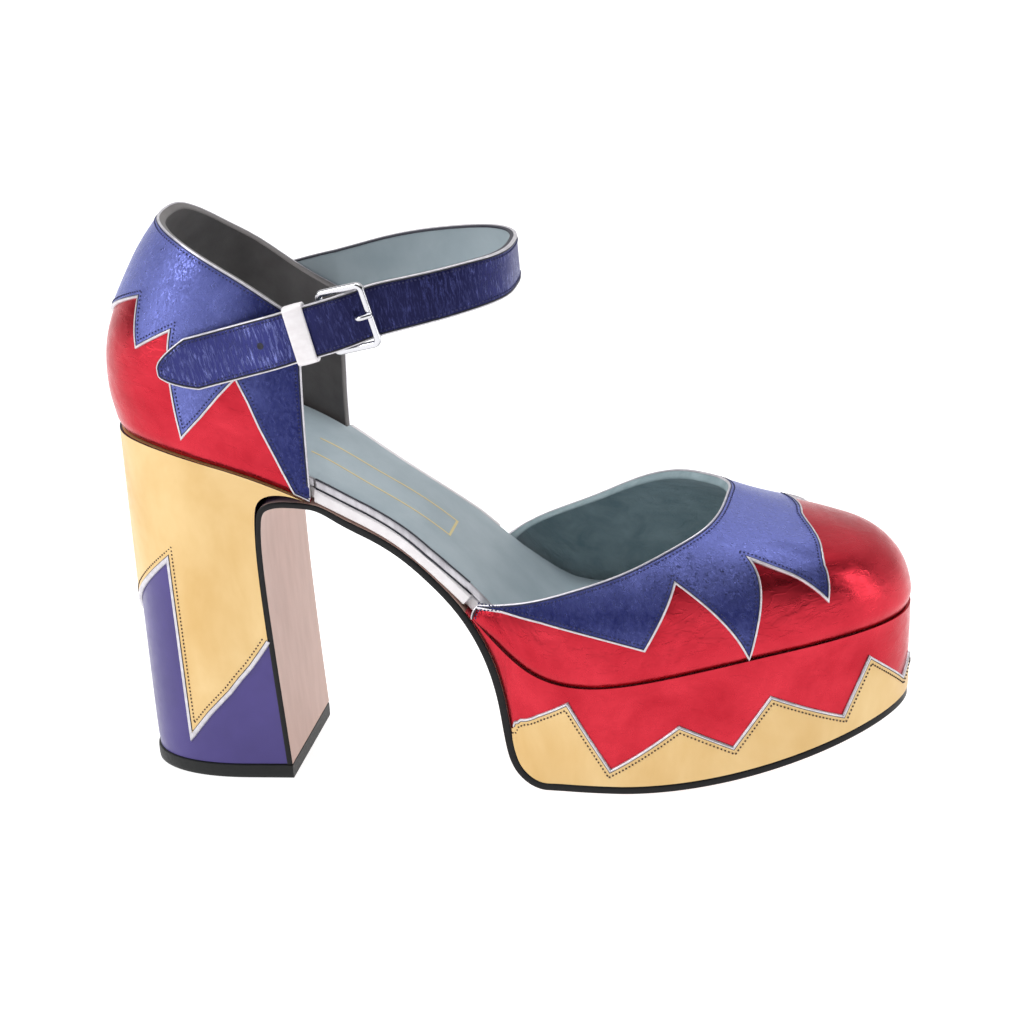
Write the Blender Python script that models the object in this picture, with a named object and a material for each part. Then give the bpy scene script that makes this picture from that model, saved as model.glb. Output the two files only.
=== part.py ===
"""Closed-toe platform pump with an ankle strap, a right shoe, at its real size.

Sizes are in millimetres and the meshes in metres. +X points to the toe, -Y to the outer side of
the foot and +Z up. The origin is on the floor, under the top lift of the heel.
"""

import math

import bmesh
import bpy
import numpy as np
from mathutils import Vector

MM = 0.001

# Clearance between pieces that touch
GAP = 0.3

# The last, seen from the side
SEAT_BACK_X = -26.4
LAST_LENGTH = 225.4
HEEL_HEIGHT = 100.3
PLATFORM_HEIGHT = 32.7
FEATHER_TOE_LIFT = 10.0

# The last, seen from above, as half widths at the feather line
SEAT_CENTRE_X = 8.0
BALL_X = 125.0
SEAT_HALF = 28.5
WAIST_HALF_OUTER = 22.8
WAIST_HALF_INNER = 22.0
BALL_HALF_OUTER = 37.0
BALL_HALF_INNER = 41.0
TOE_SWING = 6.0
SEAT_FULLNESS = 2.2
TOE_FULLNESS = 2.15

# Top lift, heel and breast
LIFT_BACK_X = -24.5
LIFT_FRONT_X = 21.0
LIFT_HALF = 24.5
LIFT_THICKNESS = 4.0
BREAST_SETBACK = 2.8
LIP_X = 31.0
LIP_EDGE = 0.8
LIP_REACH = 0.6
PANEL_THICKNESS = 0.9

# Sole
FLAP_THICKNESS = 1.6
SOLE_THICKNESS = 2.2
SOLE_EDGE_INSET = 0.8
SOLE_TOE_SPRING = 15.0
WAIST_START = 1.5
WAIST_END = 3.5
WAIST_POINTS = 6
FLAP_BLEND = 15.0
SEAT_BLEND = 8.0
SEAT_BLEND_SHARE = 0.8
ARCH_START_X = 71.3
ARCH_RUN = 24.0
ARCH_MARGIN = 8.0
PLATFORM_START = 4.0
PLATFORM_END = 1.0
TREAD_START_X = 102.0
TREAD_END_X = 118.0
PLATFORM_TAPER = 2.5
PLATFORM_SET_IN = 0.8
PLATFORM_EDGE = 0.5
BAND_BACK_X = 87.6
BAND_THICKNESS = 0.9

# Insole board and insole
BOARD_LIFT = 0.15
BOARD_THICKNESS = 3.2
INSOLE_THICKNESS = 2.4
INSOLE_INSET = 0.5
INSOLE_OVER = 0.6
BED_CLEAR = 0.5
BED_STEP = 2.4
LEAN_RUN = 11.0

# Upper
WALL = 1.8
OVERLAY_THICKNESS = 0.9
COUNTER_HEIGHT = 63.2
COUNTER_BULGE = 2.3
COUNTER_LEAN = 17.5
CENTRE_SHIFT = 12.0
WING_FRONT_X = 33.5
WING_LEAN = 1.4
TOE_BOX_HEIGHT = 46.0
VAMP_BACK_X = 78.0
THROAT_X = 148.6
THROAT_SWING = 1.0
TOE_COLUMNS = 0.67
TOE_FADE_START = 0.28
TOE_FADE_END = 0.6
WING_FULLNESS = 0.92
TUCK_DEPTH = 1.4
TUCK_HEIGHT = 4.5
TUCK_FADE = 12.0
TOPLINE_STEPS = 14

# Ankle strap, with heights at the middle of its width
STRAP_WIDTH = 14.6
STRAP_FRONT_WIDTH = 12.8
STRAP_THICKNESS = 2.0
STRAP_TIP_X = -6.0
STRAP_TIP_Z = 125.6
STRAP_FRONT_X = 91.0
STRAP_FRONT_Z = 147.0
STRAP_END_X = 8.0
STRAP_LOOP_FULLNESS = 2.8
STRAP_POINT_LENGTH = 10.0
PUNCH_RADIUS = 1.4
PUNCH_PLACE = 0.577
PUNCH_ANGLE = math.radians(30)
PUNCH_DEPTH = 5.0

# Buckle, tab and keeper
BUCKLE_LENGTH = 15.6
BUCKLE_WIDTH = 19.4
BUCKLE_BAR = 2.0
BUCKLE_CORNER = 2.6
BUCKLE_X = 49.5
BUCKLE_TILT = 2.7
PRONG_THICKNESS = 1.5
TAB_WIDTH = 12.0
TAB_THICKNESS = 1.1
TAB_LENGTH = 15.0
TAB_SLOT = 3.0
TAB_BEND_START = 4.8
TAB_SLOT_START = 3.3
KEEPER_X = 36.4
KEEPER_WIDTH = 5.8
KEEPER_THICKNESS = 1.0

# Feather line: share of the last's length, share of the rise from platform to heel, share of the toe lift
FEATHER_ROWS = (
    # station, heel, toe
    (0.000, 1.037, 0.00),
    (0.034, 1.031, 0.00),
    (0.068, 1.015, 0.00),
    (0.110, 0.982, 0.00),
    (0.152, 0.941, 0.00),
    (0.218, 0.857, 0.00),
    (0.267, 0.771, 0.00),
    (0.304, 0.692, 0.00),
    (0.364, 0.563, 0.00),
    (0.410, 0.440, 0.00),
    (0.455, 0.297, 0.00),
    (0.498, 0.150, 0.00),
    (0.530, 0.063, 0.00),
    (0.563, 0.017, 0.00),
    (0.606, 0.000, 0.00),
    (0.664, 0.000, 0.12),
    (0.722, 0.000, 0.36),
    (0.779, 0.000, 0.60),
    (0.836, 0.000, 0.80),
    (0.890, 0.000, 0.92),
    (0.943, 0.000, 1.00),
    (1.000, 0.000, 1.03),
)

# Outline between the seat's centre and the ball: how much of each half width a station takes
OUTLINE_ROWS = (
    # station, seat, waist, ball
    (0.000, 1.00, 0.00, 0.00),
    (0.103, 0.95, 0.05, 0.00),
    (0.214, 0.66, 0.34, 0.00),
    (0.316, 0.20, 0.80, 0.00),
    (0.419, 0.00, 1.00, 0.00),
    (0.513, 0.00, 0.84, 0.16),
    (0.598, 0.00, 0.59, 0.41),
    (0.684, 0.00, 0.36, 0.64),
    (0.786, 0.00, 0.16, 0.84),
    (0.889, 0.00, 0.04, 0.96),
    (1.000, 0.00, 0.00, 1.00),
)

# Breast: share of its height, share of the setback
BREAST_ROWS = (
    (0.00, 0.00),
    (0.29, 0.47),
    (0.55, 0.83),
    (0.77, 1.00),
    (0.92, 0.80),
    (0.98, 0.20),
    (1.00, -1.20),
    (0.998, -3.00),
)

# Back of the platform: share of the arch's run, share of its height
ARCH_ROWS = (
    (0.00, 1.000),
    (0.23, 0.880),
    (0.49, 0.660),
    (0.62, 0.430),
    (0.68, 0.215),
    (0.78, 0.075),
    (1.00, 0.004),
)

# Counter: share of its height, bulge, lean, width
COUNTER_ROWS = (
    (0.00, 0.00, 0.00, 1.000),
    (0.10, 0.30, 0.00, 1.018),
    (0.20, 0.85, 0.00, 1.031),
    (0.29, 1.00, 0.00, 1.033),
    (0.39, 0.87, 0.00, 1.027),
    (0.54, 0.15, 0.04, 1.000),
    (0.72, 0.00, 0.33, 0.960),
    (0.89, 0.00, 0.69, 0.900),
    (1.00, 0.00, 1.00, 0.840),
)


# Topline of the quarter, as shares of the counter's height, by share of its reach to the wing's front
QUARTER_TOP_ROWS = (
    # reach, outer, inner
    (0.00, 1.000, 1.000),
    (0.04, 0.997, 0.992),
    (0.08, 0.990, 0.965),
    (0.14, 0.976, 0.922),
    (0.22, 0.954, 0.870),
    (0.30, 0.928, 0.826),
    (0.41, 0.888, 0.774),
    (0.53, 0.840, 0.714),
    (0.67, 0.778, 0.640),
    (0.83, 0.697, 0.568),
    (1.00, 0.605, 0.505),
)

# Rim of the vamp, from the throat's front round to the wing's end
VAMP_RIM_ROWS = (
    # place, outer reach, width and rise, inner reach, width and rise, arc in degrees
    (0.00, 1.000, 0.000, 1.000, 1.000, 0.000, 1.000, 78),
    (0.15, 0.997, 0.240, 0.985, 0.965, 0.220, 0.992, 77),
    (0.30, 0.980, 0.500, 0.963, 0.880, 0.400, 0.978, 74),
    (0.42, 0.928, 0.700, 0.924, 0.755, 0.585, 0.948, 70),
    (0.54, 0.807, 0.835, 0.843, 0.620, 0.720, 0.883, 63),
    (0.67, 0.616, 0.900, 0.713, 0.480, 0.800, 0.789, 55),
    (0.78, 0.410, 0.885, 0.602, 0.340, 0.820, 0.698, 50),
    (0.88, 0.234, 0.830, 0.520, 0.190, 0.790, 0.622, 45),
    (0.95, 0.113, 0.790, 0.490, 0.085, 0.745, 0.557, 42),
    (1.00, 0.030, 0.755, 0.475, 0.020, 0.700, 0.500, 40),
)

# Toe: share of the way in from the feather line to the rim, share of the height
TOE_PROFILE_ROWS = (
    (0.00, 0.00),
    (0.02, 0.25),
    (0.06, 0.39),
    (0.10, 0.47),
    (0.19, 0.585),
    (0.30, 0.655),
    (0.42, 0.715),
    (0.60, 0.79),
    (0.80, 0.885),
    (1.00, 1.00),
)

# Zigzag edges, the same on both sides unless a row has a height for each. Places are round the
# seat or the toe, and heights are shares of the piece's own height there
HEEL_PANEL_ROWS = (
    (0.00, 0.41),
    (0.645, 0.67),
    (0.665, 0.085),
    (0.80, 0.17),
    (0.93, 0.243),
    (1.35, 0.33),
    (2.00, 0.415),
)
QUARTER_OVERLAY_ROWS = (
    (0.00, 0.525),
    (0.505, 0.715),
    (0.60, 0.50),
    (0.79, 0.645),
    (0.805, 0.37),
    (0.825, 0.115),
    (0.94, 0.257),
    (1.09, 0.40),
    (1.30, 0.530),
    (1.42, 0.423),
    (1.52, 0.309),
    (1.73, 0.11),
    (1.84, 0.02),
    (2.00, 0.02),
)
VAMP_COLLAR_ROWS = (
    (0.00, 0.750, 0.750),
    (0.06, 0.733, 0.755),
    (0.133, 0.672, 0.765),
    (0.20, 0.590, 0.755),
    (0.267, 0.475, 0.710),
    (0.325, 0.205, 0.550),
    (0.398, 0.700, 0.280),
    (0.483, 0.015, 0.690),
    (0.567, 0.714, 0.060),
    (0.65, 0.243, 0.660),
    (0.85, 0.686, 0.400),
    (0.94, 0.843, 0.750),
    (1.00, 0.850, 0.800),
)
BAND_ROWS = (
    (0.00, 0.14),
    (0.03, 0.36),
    (0.08, 0.48),
    (0.225, 0.64),
    (0.46, 0.83),
    (0.757, 0.155),
    (1.10, 0.53),
    (1.233, 0.23),
    (1.333, 0.615),
    (1.55, 0.185),
    (1.65, 0.70),
    (1.883, 0.21),
    (2.00, 0.40),
)

# Strap: share of its reach, share of its rise
STRAP_ROWS = (
    (0.00, 0.00),
    (0.10, 0.11),
    (0.24, 0.27),
    (0.37, 0.43),
    (0.48, 0.555),
    (0.63, 0.725),
    (0.82, 0.875),
    (0.95, 0.955),
    (1.00, 0.970),
)

# How far the strap stands off the outer wing, by share of the buckle's length past its inner bar
STRAP_LIFT_ROWS = (
    (-3.20, 0.00),
    (-1.92, 0.02),
    (-1.41, 0.52),
    (-0.83, 1.30),
    (-0.58, 1.38),
    (0.00, 1.42),
    (0.19, 1.36),
    (0.58, 0.62),
    (0.90, 0.02),
    (1.28, 0.00),
)

# Prong: share of the buckle's length from the inner bar, outwards in half thicknesses of the bar
PRONG_ROWS = (
    (0.192, -2.15),
    (0.404, -2.30),
    (0.506, -1.70),
    (0.577, 0.00),
    (0.635, 1.70),
    (0.731, 2.70),
    (0.859, 2.25),
    (0.974, 1.50),
)

# Tab where it turns round the bar, in half thicknesses of the bar: along the frame, outwards
TAB_BEND_ROWS = (
    (-3.7, -0.20),
    (-2.6, -0.80),
    (-1.6, -1.35),
)
TAB_END_ROWS = (
    (-1.6, 1.85),
    (-3.0, 1.75),
)


def spline(rows, start=None, end=None):
    """A smooth curve through (place, value) rows, with its slope at either end if one is given."""
    x = np.array([row[0] for row in rows], float)
    y = np.array([row[1] for row in rows], float)
    step = np.diff(x)
    rise = np.diff(y) / step
    count = len(x)
    matrix = np.zeros((count, count))
    right = np.zeros(count)
    for i in range(1, count - 1):
        matrix[i, i - 1 : i + 2] = step[i - 1], 2 * (step[i - 1] + step[i]), step[i]
        right[i] = 6 * (rise[i] - rise[i - 1])
    matrix[0, 0] = matrix[-1, -1] = 1
    if start is not None:
        matrix[0, :2] = 2 * step[0], step[0]
        right[0] = 6 * (rise[0] - start)
    if end is not None:
        matrix[-1, -2:] = step[-1], 2 * step[-1]
        right[-1] = 6 * (end - rise[-1])
    bend = np.linalg.solve(matrix, right)

    def value(at):
        at = np.clip(np.asarray(at, float), x[0], x[-1])
        i = np.clip(np.searchsorted(x, at) - 1, 0, count - 2)
        h = step[i]
        a = (x[i + 1] - at) / h
        b = (at - x[i]) / h
        curve = (a**3 - a) * bend[i] + (b**3 - b) * bend[i + 1]
        return a * y[i] + b * y[i + 1] + curve * h * h / 6

    return value


def column(rows, number):
    return [(row[0], row[number]) for row in rows]


def full_round(angle, fullness):
    """Cosine and sine of a quarter round, pushed out to a fuller curve."""
    c, s = np.cos(angle), np.sin(angle)
    size = (np.abs(c) ** fullness + np.abs(s) ** fullness) ** (-1 / fullness)
    return c * size, s * size


HEEL_SHARE = spline(column(FEATHER_ROWS, 1))
TOE_SHARE = spline(column(FEATHER_ROWS, 2))
OUTLINE_SHARES = [spline(column(OUTLINE_ROWS, i), 0, 0) for i in (1, 2, 3)]
COUNTER_SHAPE = [spline(column(COUNTER_ROWS, i)) for i in (1, 2, 3)]
TOE_X = SEAT_BACK_X + LAST_LENGTH


def feather_height(x):
    """Height of the feather line, where the upper meets the heel or the platform."""
    share = (np.asarray(x, float) - SEAT_BACK_X) / LAST_LENGTH
    rise = HEEL_HEIGHT - PLATFORM_HEIGHT
    return PLATFORM_HEIGHT + HEEL_SHARE(share) * rise + TOE_SHARE(share) * FEATHER_TOE_LIFT


def under_feather(x, gap=GAP):
    """Height a gap below the feather line, square to its slope."""
    slope = (feather_height(x + 0.1) - feather_height(x - 0.1)) / 0.2
    return float(feather_height(x) - gap * math.hypot(1, float(slope)))


def outline_half(x, side):
    """Half width of the outline from the seat's centre to the ball. Side is -1 outer, 1 inner."""
    share = (np.asarray(x, float) - SEAT_CENTRE_X) / (BALL_X - SEAT_CENTRE_X)
    waist = WAIST_HALF_OUTER if side < 0 else WAIST_HALF_INNER
    ball = BALL_HALF_OUTER if side < 0 else BALL_HALF_INNER
    halves = (SEAT_HALF, waist, ball)
    return sum(half * weight(share) for half, weight in zip(halves, OUTLINE_SHARES))


def toe_outline(turn, side, inset):
    """Outline point round the toe. Turn runs from 0 at the ball to 1 at the tip."""
    across, along = full_round(turn * math.pi / 2, TOE_FULLNESS)
    ball = BALL_HALF_OUTER if side < 0 else BALL_HALF_INNER
    x = BALL_X + (TOE_X - BALL_X - inset) * along
    return x, side * (ball - inset) * across + TOE_SWING * along**2


def seat_plan(u, back_x, front_x, half, centre_x=SEAT_CENTRE_X):
    """Plan point round the seat. u runs from -2 at the outer front, by 0 at the back, to 2."""
    side = -1 if u < 0 else 1
    if abs(u) <= 1:
        along, across = full_round(abs(u) * math.pi / 2, SEAT_FULLNESS)
        x = centre_x - (centre_x - back_x) * along
        return x, side * half * across * float(outline_half(max(x, SEAT_CENTRE_X), side)) / SEAT_HALF
    x = centre_x + (abs(u) - 1) * (front_x - centre_x)
    return x, side * half * float(outline_half(x, side)) / SEAT_HALF


def unit(vectors):
    return vectors / np.maximum(np.linalg.norm(vectors, axis=-1, keepdims=True), 1e-12)


def line_normals(line):
    """Normals of a line in the XZ plane, to the left of its direction."""
    step = unit(np.gradient(line, axis=0))
    return np.stack([-step[:, 1], step[:, 0]], axis=1)


MATERIALS = {
    # colour, roughness, metallic
    "red_leather": ((0.62, 0.015, 0.03), 0.28, 0.75),
    "blue_leather": ((0.07, 0.09, 0.42), 0.34, 0.75),
    "gold_leather": ((0.80, 0.55, 0.20), 0.32, 0.35),
    "violet_leather": ((0.06, 0.035, 0.26), 0.36, 0.20),
    "silver_leather": ((0.80, 0.78, 0.78), 0.30, 0.60),
    "insole_leather": ((0.27, 0.36, 0.40), 0.60, 0.0),
    "sole_leather": ((0.62, 0.40, 0.33), 0.45, 0.0),
    "rubber": ((0.012, 0.014, 0.013), 0.55, 0.0),
    "steel": ((0.75, 0.74, 0.73), 0.18, 1.0),
}


def material(name):
    found = bpy.data.materials.get(name)
    if found:
        return found
    colour, roughness, metallic = MATERIALS[name]
    made = bpy.data.materials.new(name)
    made.use_nodes = True
    shader = made.node_tree.nodes["Principled BSDF"]
    shader.inputs["Base Color"].default_value = (*colour, 1)
    shader.inputs["Roughness"].default_value = roughness
    shader.inputs["Metallic"].default_value = metallic
    made.diffuse_color = (*colour, 1)
    return made


def solid(name, points, faces, finish):
    """An object from points in millimetres, with doubled points merged and faces turned outwards."""
    mesh = bpy.data.meshes.new(name)
    mesh.from_pydata([tuple(p) for p in np.asarray(points) * MM], [], faces)
    shape = bmesh.new()
    shape.from_mesh(mesh)
    bmesh.ops.remove_doubles(shape, verts=shape.verts, dist=0.01 * MM)
    bmesh.ops.dissolve_degenerate(shape, edges=shape.edges, dist=0.005 * MM)
    bmesh.ops.recalc_face_normals(shape, faces=shape.faces)
    if shape.calc_volume(signed=True) < 0:
        bmesh.ops.reverse_faces(shape, faces=shape.faces)
    shape.to_mesh(mesh)
    shape.free()
    mesh.materials.append(material(finish))
    mesh.shade_smooth()
    mesh.set_sharp_from_angle(angle=math.radians(40))
    made = bpy.data.objects.new(name, mesh)
    bpy.context.scene.collection.objects.link(made)
    return made


def ring_solid(name, rings, finish):
    """A solid through rings of points, closed at both ends."""
    rings = np.asarray(rings, float)
    count, size = rings.shape[:2]
    faces = []
    for start in (0, (count - 1) * size):
        for i in range((size - 1) // 2):
            far = size - 1 - i
            faces.append([start + k for k in dict.fromkeys((i, i + 1, far - 1, far))])
    for i in range(count - 1):
        for j in range(size):
            k = (j + 1) % size
            faces.append([i * size + j, (i + 1) * size + j, (i + 1) * size + k, i * size + k])
    return solid(name, rings.reshape(-1, 3), faces, finish)


def sheet_solid(name, outer, inner, finish):
    """A solid wall between two grids of points of the same size."""
    rows, columns = outer.shape[:2]
    points = np.concatenate([outer.reshape(-1, 3), inner.reshape(-1, 3)])
    size = rows * columns
    faces = []
    for i in range(rows - 1):
        for j in range(columns - 1):
            quad = [i * columns + j, (i + 1) * columns + j, (i + 1) * columns + j + 1, i * columns + j + 1]
            faces.append(quad)
            faces.append([size + k for k in reversed(quad)])
    edge = [i * columns for i in range(rows)]
    edge += [(rows - 1) * columns + j for j in range(1, columns)]
    edge += [i * columns + columns - 1 for i in range(rows - 2, -1, -1)]
    edge += list(range(columns - 2, 0, -1))
    for a, b in zip(edge, edge[1:] + edge[:1]):
        faces.append([a, b, size + b, size + a])
    return solid(name, points, faces, finish)


def tube_solid(name, line, radius, sides, finish):
    """A round bar along a line of points."""
    line = np.asarray(line, float)
    steps = unit(np.gradient(line, axis=0))
    up = np.array([0.0, 1.0, 0.0])
    rings = []
    for centre, step in zip(line, steps):
        across = unit(np.cross(step, up))
        lift = unit(np.cross(across, step))
        turns = [2 * math.pi * i / sides for i in range(sides)]
        rings.append([centre + radius * (math.cos(t) * across + math.sin(t) * lift) for t in turns])
    return ring_solid(name, rings, finish)


# The sole's inner line, from the foot of the breast, along the waist, to the tread
def sole_line(per_stretch):
    """Points of the sole's upper side in the XZ plane, as far as the start of the tread."""
    foot_z = LIFT_THICKNESS + GAP
    lip_z = float(feather_height(LIP_X)) - LIP_EDGE
    front_x = LIFT_FRONT_X - FLAP_THICKNESS
    points = []
    for height, setback in BREAST_ROWS:
        points.append((front_x - setback * BREAST_SETBACK, foot_z + height * (lip_z - foot_z)))
    for x in np.linspace(WING_FRONT_X + WAIST_START, ARCH_START_X - WAIST_END, WAIST_POINTS):
        points.append((x, under_feather(x)))
    top = under_feather(ARCH_START_X)
    for run, height in ARCH_ROWS:
        points.append((ARCH_START_X + run * ARCH_RUN, SOLE_THICKNESS + height * (top - SOLE_THICKNESS)))
    points.append((TREAD_START_X, SOLE_THICKNESS))
    points = np.array(points)
    places = np.concatenate([[0], np.cumsum(np.linalg.norm(np.diff(points, axis=0), axis=1))])
    along = spline(list(zip(places, points[:, 0])), None, 1)
    height = spline(list(zip(places, points[:, 1])), None, 0)
    ends = np.linspace(0, places[-1], per_stretch)
    line = np.stack([along(ends), height(ends)], axis=1)
    line[line[:, 0] > ARCH_START_X, 1] = np.maximum(line[line[:, 0] > ARCH_START_X, 1], SOLE_THICKNESS)
    return line


def tread_line(x, inset):
    """Height of the sole's upper side from the tread to the toe."""
    reach = TOE_X - inset - TREAD_END_X
    share = np.clip((np.asarray(x, float) - TREAD_END_X) / reach, 0, 1)
    return SOLE_THICKNESS + SOLE_TOE_SPRING * share**1.7


def sole_thickness(line):
    """Thin on the breast, full from the waist on."""
    share = np.clip((line[:, 0] - LIP_X) / FLAP_BLEND, 0, 1)
    high = np.clip((line[:, 1] - SEAT_BLEND_SHARE * HEEL_HEIGHT) / SEAT_BLEND, 0, 1)
    share = np.maximum(share, high * 0.5)
    return FLAP_THICKNESS + (SOLE_THICKNESS - FLAP_THICKNESS) * share


TOE_TURNS = 13
SOLE_LINE_POINTS = 60
REAR_LINE = sole_line(SOLE_LINE_POINTS)


def heel_half_width(x, z, side):
    """Half width of the heel between its lift and the feather line."""
    top = float(feather_height(x))
    share = np.clip((z - LIFT_THICKNESS) / (top - LIFT_THICKNESS), 0, 1)
    upper = SEAT_HALF if x < SEAT_CENTRE_X else float(outline_half(x, side))
    return LIFT_HALF + (upper - LIFT_HALF) * float(share) ** 1.3


def platform_inset(x):
    """How far the platform's lower edge is set in from the outline."""
    share = np.clip((x - ARCH_START_X) / (TREAD_START_X - ARCH_START_X), 0, 1)
    return SOLE_EDGE_INSET + (PLATFORM_TAPER - SOLE_EDGE_INSET) * share


def build_outsole():
    """The breasted sole: breast flap, waist, back of the platform, tread and toe."""
    normals = line_normals(REAR_LINE)
    thickness = sole_thickness(REAR_LINE)
    rings = []
    for (x, z), normal, thick in zip(REAR_LINE, normals, thickness):
        low_x, low_z = x - normal[0] * thick, z - normal[1] * thick
        halves = []
        for side in (-1, 1):
            breast = heel_half_width(min(x, LIP_X), z, side)
            waist = float(outline_half(x, side)) - platform_inset(x)
            blend = np.clip((x - LIFT_FRONT_X) / (WING_FRONT_X - LIFT_FRONT_X), 0, 1)
            halves.append(side * (breast + (waist - breast) * blend))
        outer, inner = halves
        rings.append([(x, outer, z), (x, inner, z), (low_x, inner, low_z), (low_x, outer, low_z)])
    for x in np.linspace(TREAD_START_X, BALL_X, 5)[1:]:
        z = float(tread_line(x, PLATFORM_TAPER))
        outer, inner = (s * (float(outline_half(x, s)) - PLATFORM_TAPER) for s in (-1, 1))
        low = z - SOLE_THICKNESS
        rings.append([(x, outer, z), (x, inner, z), (x, inner, low), (x, outer, low)])
    for turn in np.linspace(0, 1, TOE_TURNS)[1:]:
        x, outer = toe_outline(turn, -1, PLATFORM_TAPER)
        inner = toe_outline(turn, 1, PLATFORM_TAPER)[1]
        z = float(tread_line(x, PLATFORM_TAPER))
        low = z - SOLE_THICKNESS
        rings.append([(x, outer, z), (x, inner, z), (x, inner, low), (x, outer, low)])
    return ring_solid("outsole", rings, "sole_leather")


def platform_wall(bottom_x, turn, side, share, push=0.0):
    """A point on the platform's side, from 0 at its lower edge to 1 at the feather line."""
    if turn is None:
        inset = float(platform_inset(bottom_x))
        low = (bottom_x, side * (float(outline_half(bottom_x, side)) - inset))
        high = (bottom_x, side * float(outline_half(bottom_x, side)))
        z_low = platform_floor(bottom_x)
    else:
        low = toe_outline(turn, side, PLATFORM_TAPER)
        high = toe_outline(turn, side, 0)
        z_low = float(tread_line(low[0], PLATFORM_TAPER)) + GAP
    z_high = under_feather(high[0])
    point = np.array([*low, z_low]) * (1 - share) + np.array([*high, z_high]) * share
    if push:
        nudge = 0.01
        if turn is None:
            ahead = outline_half(bottom_x + nudge, side) - outline_half(bottom_x - nudge, side)
            step = np.array([2 * nudge, side * float(ahead), 0])
        else:
            before = toe_outline(max(turn - nudge, -nudge), side, 0)
            after = toe_outline(turn + nudge, side, 0)
            step = np.array([after[0] - before[0], after[1] - before[1], 0])
        outward = unit(np.array([-side * step[1], side * step[0], 0]))
        if turn is not None and turn > 0.9999:
            outward = np.array([1.0, 0, 0])
        point = point + push * outward
    return point


ARCH_FLOOR = spline(
    [(x, z) for x, z in REAR_LINE if x > ARCH_START_X - ARCH_MARGIN],
)


def platform_floor(x):
    """Lower side of the platform block: the sole's upper side with its clearance."""
    if x >= TREAD_START_X:
        return float(tread_line(x, PLATFORM_TAPER)) + GAP
    slope = (ARCH_FLOOR(x + 0.05) - ARCH_FLOOR(x - 0.05)) / 0.1
    return float(ARCH_FLOOR(x) + GAP * math.hypot(1, float(slope)))


def platform_stations():
    """Stations along the platform: (x, turn), close together where its back is steep."""
    start, end = ARCH_START_X + PLATFORM_START, TREAD_START_X - PLATFORM_END
    rear = [(x, z) for x, z in REAR_LINE if start < x < end]
    places = [x for x, _ in rear]
    places = [x for x in places if feather_height(x) - GAP - platform_floor(x) > PLATFORM_EDGE]
    sides = list(np.linspace(TREAD_START_X, BALL_X, 5))
    turns = list(np.linspace(0, 1, TOE_TURNS))[1:]
    return [(x, None) for x in places + sides] + [(BALL_X, turn) for turn in turns]


def build_platform():
    rings = []
    for x, turn in platform_stations():
        outer_low, outer_high = (platform_wall(x, turn, -1, s, -PLATFORM_SET_IN) for s in (0, 1))
        inner_low, inner_high = (platform_wall(x, turn, 1, s, -PLATFORM_SET_IN) for s in (0, 1))
        rings.append([outer_low, inner_low, inner_high, outer_high])
    return ring_solid("platform", rings, "red_leather")


HEEL_LIP_X = LIP_X + LIP_REACH


def heel_front_line():
    """Front of the heel: the sole's line from the foot of the breast to the lip."""
    normals = line_normals(REAR_LINE)
    line = REAR_LINE + normals * GAP
    last = next(i for i, (x, z) in enumerate(line) if x > HEEL_LIP_X)
    share = (HEEL_LIP_X - line[last - 1][0]) / (line[last][0] - line[last - 1][0])
    line[last] = line[last - 1] + (line[last] - line[last - 1]) * share
    line = line[: last + 1]
    places = np.concatenate([[0], np.cumsum(np.linalg.norm(np.diff(line, axis=0), axis=1))])
    return line, places / places[-1]


HEEL_LINE, HEEL_PLACES = heel_front_line()


def heel_point(u, rise, push=0.0):
    """A point on the heel. u goes round the seat from -2 to 2 and rise goes from the lift to the seat."""
    foot = LIFT_THICKNESS + GAP
    front_x = float(np.interp(rise, HEEL_PLACES, HEEL_LINE[:, 0]))
    front_z = float(np.interp(rise, HEEL_PLACES, HEEL_LINE[:, 1]))
    back_z = foot + (HEEL_HEIGHT - GAP - foot) * rise
    back_x = LIFT_BACK_X + (SEAT_BACK_X - LIFT_BACK_X) * rise**0.55

    def plan(at):
        x, y = seat_plan(at, back_x, front_x, 1.0)
        across = (x - back_x) / (front_x - back_x)
        z = back_z + (front_z - back_z) * across
        seat_z = under_feather(x)
        z += (seat_z - z) * np.clip((rise - 0.7) / 0.3, 0, 1) ** 2
        half = heel_half_width(max(x, SEAT_CENTRE_X), z, -1 if at < 0 else 1)
        if abs(at) > 1:
            y = math.copysign(1.0, at)
        return np.array([x, y * half, z])

    point = plan(u)
    if push:
        step = plan(min(u + 0.02, 2)) - plan(max(u - 0.02, -2))
        point = point + push * unit(np.array([-step[1], step[0], 0]))
    return point


def seat_places(round_count, side_count):
    """Places round the seat from -2 to 2, closer together round the back."""
    side = list(np.linspace(2, 1, side_count + 1)[:-1])
    back = list(np.linspace(1, 0, round_count + 1)[:-1])
    half = side + back
    return [-u for u in half] + [0.0] + half[::-1]


def run_along(surface, end):
    """Places from one end of a surface to the other and the level distance to each."""
    places = np.linspace(-end, end, 161)
    line = np.array([surface(place, 0.5)[:2] for place in places])
    steps = np.linalg.norm(np.diff(line, axis=0), axis=1)
    return places, np.concatenate([[0], np.cumsum(steps)])


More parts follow.
